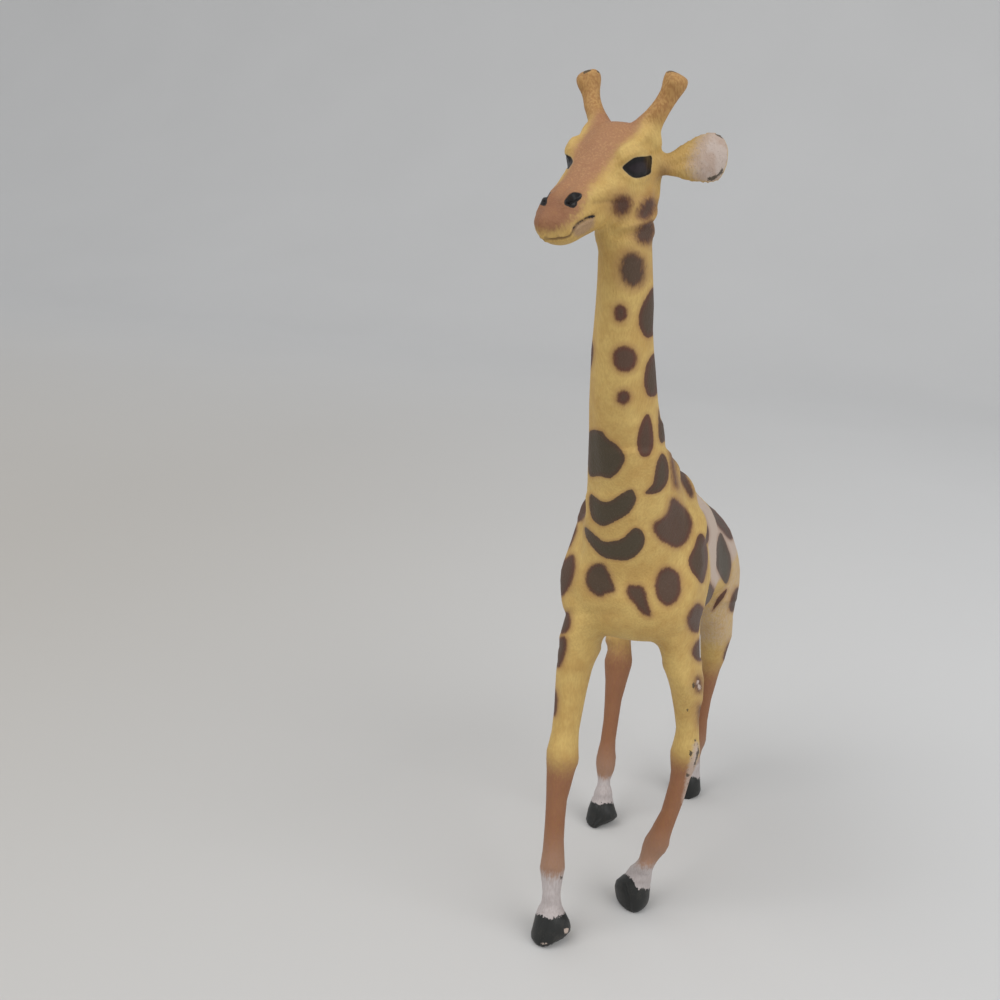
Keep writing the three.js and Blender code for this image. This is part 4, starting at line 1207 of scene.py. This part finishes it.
jointPlaces = {  # side, forward, height; near: how far the cut reaches
    "neck": {"foot": (0, 36, 115), "along": 34, "near": 26},
    "head": {"at": (0, 79.5, 203), "near": 13},
    "tail": {"at": (0, -57.6, 92), "way": (0, -0.543, 0.84), "near": 5, "behind": 73},
    "leg": {"height": 87, "near": 19},
    "legs": {"front_right": (-12.2, 43.3), "front_left": (16.7, 35), "hind_right": (-13.6, -35.3),
             "hind_left": (11.8, -40)},
    "horn": {"root": (5.5, -5.5, 6.2), "splay": 24, "along": 3.2, "near": 4.8},
    "ear": {"root": (7.2, -9, 1.2), "lift": 13, "sweep": 40, "along": 2.4, "near": 5.5},
}


def limbJoints():
    neck, head, tail, leg = [jointPlaces[name] for name in ("neck", "head", "tail", "leg")]
    joints = [
        {"name": "neck", "at": place(*neck["foot"]) + neckAxis * neck["along"] * mm, "way": neckAxis},
        {"name": "head", "at": place(*head["at"]), "way": neckAxis},
        {"name": "tail", "at": place(*tail["at"]), "way": Vector(tail["way"])},
    ]
    for name, (side, forward) in jointPlaces["legs"].items():
        at = place(side, forward, leg["height"])
        joints.append({"name": "leg_" + name, "at": at, "way": Vector((0, 0, 1))})
    splay = math.radians(jointPlaces["horn"]["splay"])
    lift, sweep = [math.radians(jointPlaces["ear"][name]) for name in ("lift", "sweep")]
    for name, flip in [("left", 1), ("right", -1)]:
        level = math.cos(lift)
        ways = {
            "horn": headWay(flip * math.sin(splay), 0, math.cos(splay)),
            "ear": headWay(flip * level * math.cos(sweep), level * math.sin(sweep), math.sin(lift)),
        }
        for kind, way in ways.items():
            side, forward, up = jointPlaces[kind]["root"]
            at = onHead(flip * side, forward, up) + way * jointPlaces[kind]["along"] * mm
            joints.append({"name": kind + "_" + name, "at": at, "way": way})
    for joint in joints:
        joint["near"] = jointPlaces[joint["name"].split("_")[0]]["near"]
    return joints


def cutJoint(piece, joint):
    editMesh(piece, "FACE")
    stopEdit()
    points = readPoints(piece)
    near = ((points - np.array(joint["at"]) / mm) ** 2).sum(1) < joint["near"] ** 2
    if joint["name"] == "tail":
        near &= points[:, 1] > jointPlaces["tail"]["behind"]
    polygons = piece.data.polygons
    starts = np.empty(len(polygons), np.int32)
    totals = np.empty(len(polygons), np.int32)
    polygons.foreach_get("loop_start", starts)
    polygons.foreach_get("loop_total", totals)
    loops = np.empty(len(piece.data.loops), np.int32)
    piece.data.loops.foreach_get("vertex_index", loops)
    chosen = np.add.reduceat(near[loops].astype(int), starts) == totals
    polygons.foreach_set("select", chosen)
    bpy.ops.object.mode_set(mode="EDIT")
    bpy.ops.mesh.select_mode(type="EDGE")
    bpy.ops.mesh.bisect(plane_co=joint["at"], plane_no=joint["way"], use_fill=False, threshold=0.00001)
    bpy.ops.mesh.edge_split(type="EDGE")
    stopEdit()


def keepShading(part, tree, wholeNormals, joints):  # the paint covers the joints, so no line shows there
    points, normals = readPoints(part), readNormals(part)
    for joint in joints:
        fromCut = np.abs((points - np.array(joint["at"]) / mm) @ np.array(joint["way"]))
        reach = ((points - np.array(joint["at"]) / mm) ** 2).sum(1) < (joint["near"] + 1) ** 2
        for i in np.nonzero(reach & (fromCut < 1.2))[0]:
            total = np.zeros(3)
            for _, number, distance in tree.find_n(points[i], 4):
                total += wholeNormals[number] / (distance + 0.01)
            normals[i] = total / np.linalg.norm(total)
    part.data.normals_split_custom_set_from_vertices(normals.tolist())


def splitSkin(piece):
    joints = limbJoints()
    wholePoints, wholeNormals = readPoints(piece), readNormals(piece)
    tree = treeOf(wholePoints)
    for joint in joints:
        cutJoint(piece, joint)
    pick(piece)
    bpy.ops.object.mode_set(mode="EDIT")
    bpy.ops.mesh.select_all(action="SELECT")
    bpy.ops.mesh.separate(type="LOOSE")
    stopEdit()
    parts = [o for o in bpy.context.scene.objects if o.type == "MESH" and o.name.startswith("skin")]
    print("split into", len(parts), "mouldings")
    centres = {}
    for name in frame["nodes"]:
        low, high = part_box(name)
        centres[name] = (low + high) / 2
    result = {}
    for part in sorted(parts, key=lambda o: -len(o.data.vertices)):
        points = readPoints(part) * mm
        middle = Vector((points.min(0) + points.max(0)) / 2)
        free = [name for name in centres if name not in result]
        if not free:
            break
        name = min(free, key=lambda key: (centres[key] - middle).length)
        result[name] = part
        part.name = name + "Moulding"
        editMesh(part, "EDGE")
        bpy.ops.mesh.select_non_manifold(extend=False, use_wire=False, use_multi_face=False,
                                         use_non_contiguous=False, use_verts=False)
        bpy.ops.mesh.fill_holes(sides=0)
        stopEdit()
        keepShading(part, tree, wholeNormals, joints)
    return result


# finishes

def shade(red, green, blue):  # a paint's colour as read off a chart, 0 to 255
    return tuple(c / 12.92 if c <= 0.04045 else ((c + 0.055) / 1.055) ** 2.4
                 for c in (red / 255, green / 255, blue / 255)) + (1.0,)


class Signal:
    def __init__(self, finish, socket):
        self.finish, self.socket = finish, socket

    def math(self, operation, *others):
        return self.finish.node("ShaderNodeMath", {"operation": operation}, dict(enumerate((self, *others))))

    def __add__(self, other):
        return self.math("ADD", other)

    __radd__ = __add__

    def __mul__(self, other):
        return self.math("MULTIPLY", other)

    __rmul__ = __mul__

    def __sub__(self, other):
        return self.math("SUBTRACT", other)

    def __rsub__(self, other):
        return (self * -1).math("ADD", other)

    def __truediv__(self, other):
        return self.math("DIVIDE", other)

    def most(self, other):
        return self.math("MAXIMUM", other)

    def rise(self, low, high):  # smooth 0 to 1 from low to high
        return self.finish.node("ShaderNodeMapRange", {"interpolation_type": "SMOOTHSTEP"},
                                {0: self, 1: low, 2: high, 3: 0.0, 4: 1.0})


class Finish:
    def __init__(self, name):
        self.material = bpy.data.materials.new(name)
        self.material.use_nodes = True
        self.tree = self.material.node_tree
        self.tree.nodes.clear()
        self.fields = {}

    def node(self, kind, settings=None, inputs=None, out=0):
        made = self.tree.nodes.new(kind)
        for key, value in (settings or {}).items():
            setattr(made, key, value)
        for key, value in (inputs or {}).items():
            if isinstance(value, Signal):
                self.tree.links.new(value.socket, made.inputs[key])
            else:
                made.inputs[key].default_value = value
        return Signal(self, made.outputs[out]) if len(made.outputs) else made

    def field(self, name):
        if name not in self.fields:
            self.fields[name] = self.node("ShaderNodeAttribute", {"attribute_name": name}, out=2)
        return self.fields[name]

    def where(self, turn=(0, 0, 0), stretch=(1, 1, 1)):  # Object coordinates in millimetres
        coordinates = self.node("ShaderNodeTexCoord", out=3)
        scale = tuple(1000 * s for s in stretch)
        turned = self.node("ShaderNodeMapping", None, {"Vector": coordinates, "Rotation": turn})
        return self.node("ShaderNodeMapping", None, {"Vector": turned, "Scale": scale})

    def noise(self, where, size, detail):
        return self.node("ShaderNodeTexNoise", {"noise_dimensions": "3D"},
                         {"Vector": where, "Scale": 1 / size, "Detail": detail, "Roughness": 0.5})

    def mix(self, under, over, amount):
        return self.node("ShaderNodeMix", {"data_type": "RGBA"}, {0: amount, 6: under, 7: over}, out=2)

    def close(self, surface):
        self.node("ShaderNodeOutputMaterial", None, {"Surface": surface})


hideColours = {
    # the bare plastic; also the colour of the painted light on the thighs and of the painted highlight strip
    "plasticAndPaintedLight": shade(190, 172, 160),
    "coatLight": shade(205, 174, 105),
    "coatDeep": shade(188, 151, 86),
    "coatGrain": shade(152, 114, 66),
    "pink": shade(154, 107, 80),
    "pinkDeep": shade(120, 72, 56),
    "pinkLight": shade(184, 138, 98),
    "horn": shade(178, 136, 84),
    "hornDeep": shade(150, 104, 62),
    "brown": shade(142, 96, 68),
    "brownLow": shade(158, 124, 104),
    "white": shade(186, 177, 175),
    "whiteGrain": shade(150, 138, 136),
    "earWhite": shade(188, 172, 162),
    "earPink": shade(172, 148, 132),
    "spotBrown": shade(84, 58, 49),
    "spotRed": shade(92, 48, 36),
    "spotBlack": shade(68, 60, 47),
    "hoof": shade(38, 39, 38),
    "hoofWorn": shade(68, 66, 62),
    "ink": shade(12, 7, 8),
    "iris": shade(34, 24, 30),
    "rim": shade(178, 164, 132),
    "mane": shade(74, 56, 48),
    "lip": shade(162, 132, 106),
    # dark brown: the mouth line and the specks in the ear and the highlight strip, which are paint, and
    # painted shade in the face's narrow creases
    "brownLineAndCreaseShade": shade(96, 70, 48),
}


class HideFinish(Finish):  # its colours go by name
    def mix(self, under, over, amount):
        under, over = [hideColours[value] if isinstance(value, str) else value for value in (under, over)]
        return super().mix(under, over, amount)


hidePaint = {
    "patterns": {"fine": (0.3, 2), "small": (1.0, 3), "middling": (3.2, 2), "broad": (9, 2)},  # size, detail
    # a coat's start and full depth; how much the fine, small and hair patterns break it; how much it covers
    "coats": {
        "pale": (0.2, 0.9, 0, 0.4, 0.5, 0.92),
        "pink": (0.1, 1.0, 0, 0.5, 0.8, 0.88),
        "lipPatch": (-0.5, 0.5, 0, 1.0, 0, 0.85),
        "brown": (0.05, 0.95, 0, 0.3, 0.3, 1),
        "white": (0.15, 0.95, 0, 0.3, 0.7, 1),
        "earInside": (0.05, 0.9, 0.5, 0, 0.3, 1),
        "mane": (-0.4, 0.5, 0, 0.7, 1.3, 0.92),
        # painted shade in the narrow creases
        "groove": (0.12, 0.9, 0, 0.3, 0, 0.5),
        "eye": (-0.35, -0.05, 0, 0, 0, 0.3),
        "lips": (-0.25, 0.15, 0, 0.25, 0, 0.5),
        "hoof": (-0.1, 0.1, 0, 1.3, 2.6, 1),
        # a painted highlight strip, in the plastic's colour
        "paintedHighlight": (-0.5, 0.7, 1.0, 1.4, 0, 0.72),
        "bare": (-0.05, 0.1, 0.9, 0.9, 0, 1),
        "mark": (-0.05, 0.12, 0.9, 0.7, 0, 0.9),
    },
    "grain": {"coatGrain": 0.2, "brown": 0.18, "white": 0.28},  # between the strokes of hair
    "horn": 0.9,
    "earPink": 0.7,
    "earHair": 0.45,
    "spotBreak": (1.4, 2.6),  # how much the small and hair patterns break a spot's edge
    "spotCover": 0.97,
    "halo": 0.4,
    "faint": (1.1, 1.45),
    "gloss": {"coat": 0.6, "spot": 0.06, "hoof": 0.16, "ink": 0.2, "fine": 0.14},
    "bump": {"hair": 0.24, "fine": 0.05, "small": 0.06, "hoof": 0.06},
    "bumpStrength": 0.8,
    "refraction": 1.36,
}
hairLay = {  # turn about X and Z in degrees, stretch, size
    "standing": (0, 0, 0.24, 0.46),
    "swept": (38, 0, 0.26, 0.5),
    "onFace": (-40, 16, 0.28, 0.44),
}


def hairOf(f):  # the moulded coat's short strokes, which lie along the limbs and back over the trunk
    head = f.field("head")
    height = f.node("ShaderNodeSeparateXYZ", None, {0: f.where()}, out=2)
    trunk = height.rise(84, 96) * (1 - height.rise(150, 172)) * (1 - head)
    standing, swept, onFace = [
        f.noise(f.where((math.radians(lean), 0, math.radians(turn)), (1, 1, stretch)), size, 1.5)
        for lean, turn, stretch, size in hairLay.values()]
    return standing * (1 - head) * (1 - trunk) + swept * trunk + onFace * head


def paintedHide():
    f = HideFinish("paintedHide")
    form = hidePaint
    even = f.where()
    fine, small, middling, broad = [f.noise(even, *entry) for entry in form["patterns"].values()]
    hair = hairOf(f)
    gaps = 1 - hair.rise(0.36, 0.64)

    def edged(name):  # how full a coat of paint is, with its broken edge
        low, high, *shares, _ = form["coats"][name]
        value = f.field(name)
        for pattern, share in zip((fine, small, hair), shares):
            if share:
                value = value + (pattern - 0.5) * share
        return value.rise(low, high)

    def laid(paint, colour, name):
        return f.mix(paint, colour, edged(name) * form["coats"][name][-1])

    paint = f.mix("coatLight", "coatDeep", (broad * 0.6 + middling * 0.4).rise(0.34, 0.68) * 0.85)
    paint = f.mix(paint, "coatGrain", gaps * form["grain"]["coatGrain"])
    # bare plastic on the flank behind the shoulder, and painted light on the thighs
    paint = laid(paint, "plasticAndPaintedLight", "pale")
    horn = f.mix("horn", "hornDeep", gaps * 0.7 + (middling - 0.5) * 0.5)
    paint = f.mix(paint, horn, f.field("horn") * form["horn"])
    pink = f.mix("pink", "pinkLight", hair.rise(0.46, 0.7) * 0.5)
    pink = f.mix(pink, "pinkDeep", f.field("muzzle") * 0.75 + (middling - 0.5) * 0.5)
    paint = laid(paint, pink, "pink")
    paint = laid(paint, "lip", "lipPatch")
    brown = f.mix("brown", "brownLow", f.field("faded") + (broad - 0.5) * 0.3)
    paint = laid(paint, f.mix(brown, "coatGrain", gaps * form["grain"]["brown"]), "brown")
    paint = laid(paint, f.mix("white", "whiteGrain", gaps * form["grain"]["white"]), "white")
    inner = edged("earInside")
    paint = f.mix(paint, "earWhite", inner)
    paint = f.mix(paint, "earPink", inner * middling.rise(0.4, 0.6) * form["earPink"])
    dots = f.field("earInside").rise(0.1, 0.4) * fine.rise(0.63, 0.72)
    paint = f.mix(paint, "brownLineAndCreaseShade", dots * form["earHair"])

    edge, black = f.field("spotEdge"), f.field("spotTone")
    smallBreak, hairBreak = form["spotBreak"]
    depth = f.field("spot") + ((small - 0.5) * smallBreak + (hair - 0.5) * hairBreak) * (edge * 0.5 + 0.08)
    covered = (depth / edge).rise(-1.0, 1.0)
    spotColour = f.mix("spotBrown", "spotBlack", black * 1.15 + (broad - 0.5) * 0.5)
    spotColour = f.mix(spotColour, "spotRed", depth.rise(1.5, 0.0) * (1 - black * 0.7) * 0.95)
    spotColour = f.mix(spotColour, "whiteGrain", fine.rise(0.56, 0.74) * 0.1)
    faint = edge.rise(*form["faint"])
    halo = (depth / (edge + 0.3)).rise(-2.2, 0.0) * form["halo"]
    paint = f.mix(paint, "brown", halo * (1 - faint * 0.5))
    paint = f.mix(paint, spotColour, covered * (form["spotCover"] - faint * 0.45))

    # the mane, painted shade in the narrow creases (groove), the pale eye rim and the mouth's dark line
    for colour, name in (("mane", "mane"), ("brownLineAndCreaseShade", "groove"), ("rim", "eye"), ("brownLineAndCreaseShade", "lips")):
        paint = laid(paint, colour, name)
    hoof, paintedHighlight = edged("hoof"), edged("paintedHighlight")
    hoofColour = f.mix("hoof", "hoofWorn", (fine * 0.5 + middling * 0.5).rise(0.5, 0.72) * 0.6)
    paint = f.mix(paint, hoofColour, hoof)
    # painted highlight: a pale strip down the front left leg, with dark specks in it
    paint = f.mix(paint, "plasticAndPaintedLight", paintedHighlight * form["coats"]["paintedHighlight"][-1])
    paint = f.mix(paint, "brownLineAndCreaseShade", paintedHighlight * (middling * 0.4 + small * 0.6).rise(0.56, 0.66) * 0.7)
    paint = laid(paint, "plasticAndPaintedLight", "bare")
    paint = laid(paint, "spotBlack", "mark")
    holes = f.field("eye").most(f.field("nostril")).most(f.field("lipCorner") + (small - 0.5) * 1.0)
    ink = (holes + (fine - 0.5) * 0.16).rise(-0.08, 0.1)
    paint = f.mix(paint, f.mix("ink", "iris", f.field("eye").rise(0.7, 1.3) * 0.8), ink)

    less = form["gloss"]
    rough = less["coat"] - covered * less["spot"] - hoof * less["hoof"] - ink * less["ink"]
    rough = rough + (fine - 0.5) * less["fine"]
    high = form["bump"]
    relief = (hair - 0.5) * high["hair"] + (fine - 0.5) * high["fine"] + (small - 0.5) * high["small"]
    relief = relief * (1 - hoof * 0.7) * (1 - ink * 0.9) + hoof * high["hoof"]
    strength = form["bumpStrength"]
    bump = f.node("ShaderNodeBump", None, {"Strength": strength, "Distance": mm, "Height": relief})
    f.close(f.node("ShaderNodeBsdfPrincipled", None, {
        "Base Color": paint, "Roughness": rough, "Normal": bump, "IOR": form["refraction"]}))
    return f.material


studio = {
    "table": (8, 5),  # metres
    "rear": 2,
    "wall": 4,
    "curve": (1.2, 16),  # radius and steps between table and wall
    "pale": (shade(210, 210, 210), shade(215, 215, 215)),
    # painted shade on the table and backdrop
    "paintedShade": shade(184, 180, 174),
    "paintedShadeReach": ((-500, 260), (-100, 1400)),  # the painted shade goes to the left and near, in millimetres
    "lamps": {"keyLamp": ((-0.7, -1.1, 1.5), 1.2, 14), "fillLamp": ((1.3, -0.5, 1.0), 1.4, 10)},
    "aim": (0, 0, 0.12),
    "sky": ((0.98, 0.99, 1.0, 1), 0.62),
}


def stageFinish():
    f = Finish("paleTable")
    even = f.where()
    sideways = f.node("ShaderNodeSeparateXYZ", None, {0: even})
    backwards = f.node("ShaderNodeSeparateXYZ", None, {0: even}, out=1)
    pale = f.mix(*studio["pale"], f.noise(even, 260, 2))
    side, rear = studio["paintedShadeReach"]
    # painted shade: darker to the left and near the camera
    colour = f.mix(pale, studio["paintedShade"], (1 - sideways.rise(*side)) * (1 - backwards.rise(*rear)))
    f.close(f.node("ShaderNodeBsdfPrincipled", None, {"Base Color": colour, "Roughness": 0.9}))
    return f.material


pieces = splitSkin(skin)
hide = paintedHide()
for name, piece in pieces.items():
    piece.data.materials.clear()
    piece.data.materials.append(hide)
    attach(piece, "root")
    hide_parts(name)
print("mouldings:", sorted(pieces))


# table, backdrop and light

def addStage():
    bpy.ops.mesh.primitive_plane_add(size=1, location=(0, 0, 0))
    table = bpy.context.active_object
    table.name = "table"
    editMesh(table)
    bpy.ops.mesh.select_all(action="SELECT")
    bpy.ops.transform.resize(value=(*studio["table"], 1))
    stopEdit()
    points = readPoints(table) * mm
    editMesh(table, "EDGE")
    stopEdit()
    rear = points[:, 1] > studio["rear"]
    for edge in table.data.edges:
        edge.select = all(rear[v] for v in edge.vertices)
    bpy.ops.object.mode_set(mode="EDIT")
    bpy.ops.mesh.extrude_region_move(TRANSFORM_OT_translate={"value": (0, 0, studio["wall"])})
    bpy.ops.mesh.select_all(action="DESELECT")
    stopEdit()
    for edge in table.data.edges:
        ends = [table.data.vertices[v].co for v in edge.vertices]
        edge.select = all(abs(end.z) < 0.001 and end.y > studio["rear"] for end in ends)
    bpy.ops.object.mode_set(mode="EDIT")
    radius, steps = studio["curve"]
    bpy.ops.mesh.bevel(offset=radius, segments=steps)
    stopEdit()
    table.data.polygons.foreach_set("use_smooth", [True] * len(table.data.polygons))
    table.data.materials.append(stageFinish())


def addLamp(name, at, size, power):
    data = bpy.data.lights.new(name, "AREA")
    data.shape = "SQUARE"
    data.size = size
    data.energy = power
    lamp = bpy.data.objects.new(name, data)
    lamp.location = at
    lamp.rotation_euler = (Vector(studio["aim"]) - Vector(at)).to_track_quat("-Z", "Y").to_euler()
    bpy.context.collection.objects.link(lamp)


def addLight():
    world = bpy.data.worlds.new("world")
    bpy.context.scene.world = world
    world.use_nodes = True
    background = world.node_tree.nodes["Background"]
    background.inputs["Color"].default_value, background.inputs["Strength"].default_value = studio["sky"]
    for name, entry in studio["lamps"].items():
        addLamp(name, *entry)
    bpy.context.scene.view_settings.view_transform = "Standard"


addStage()
addLight()
print("table and lights set")
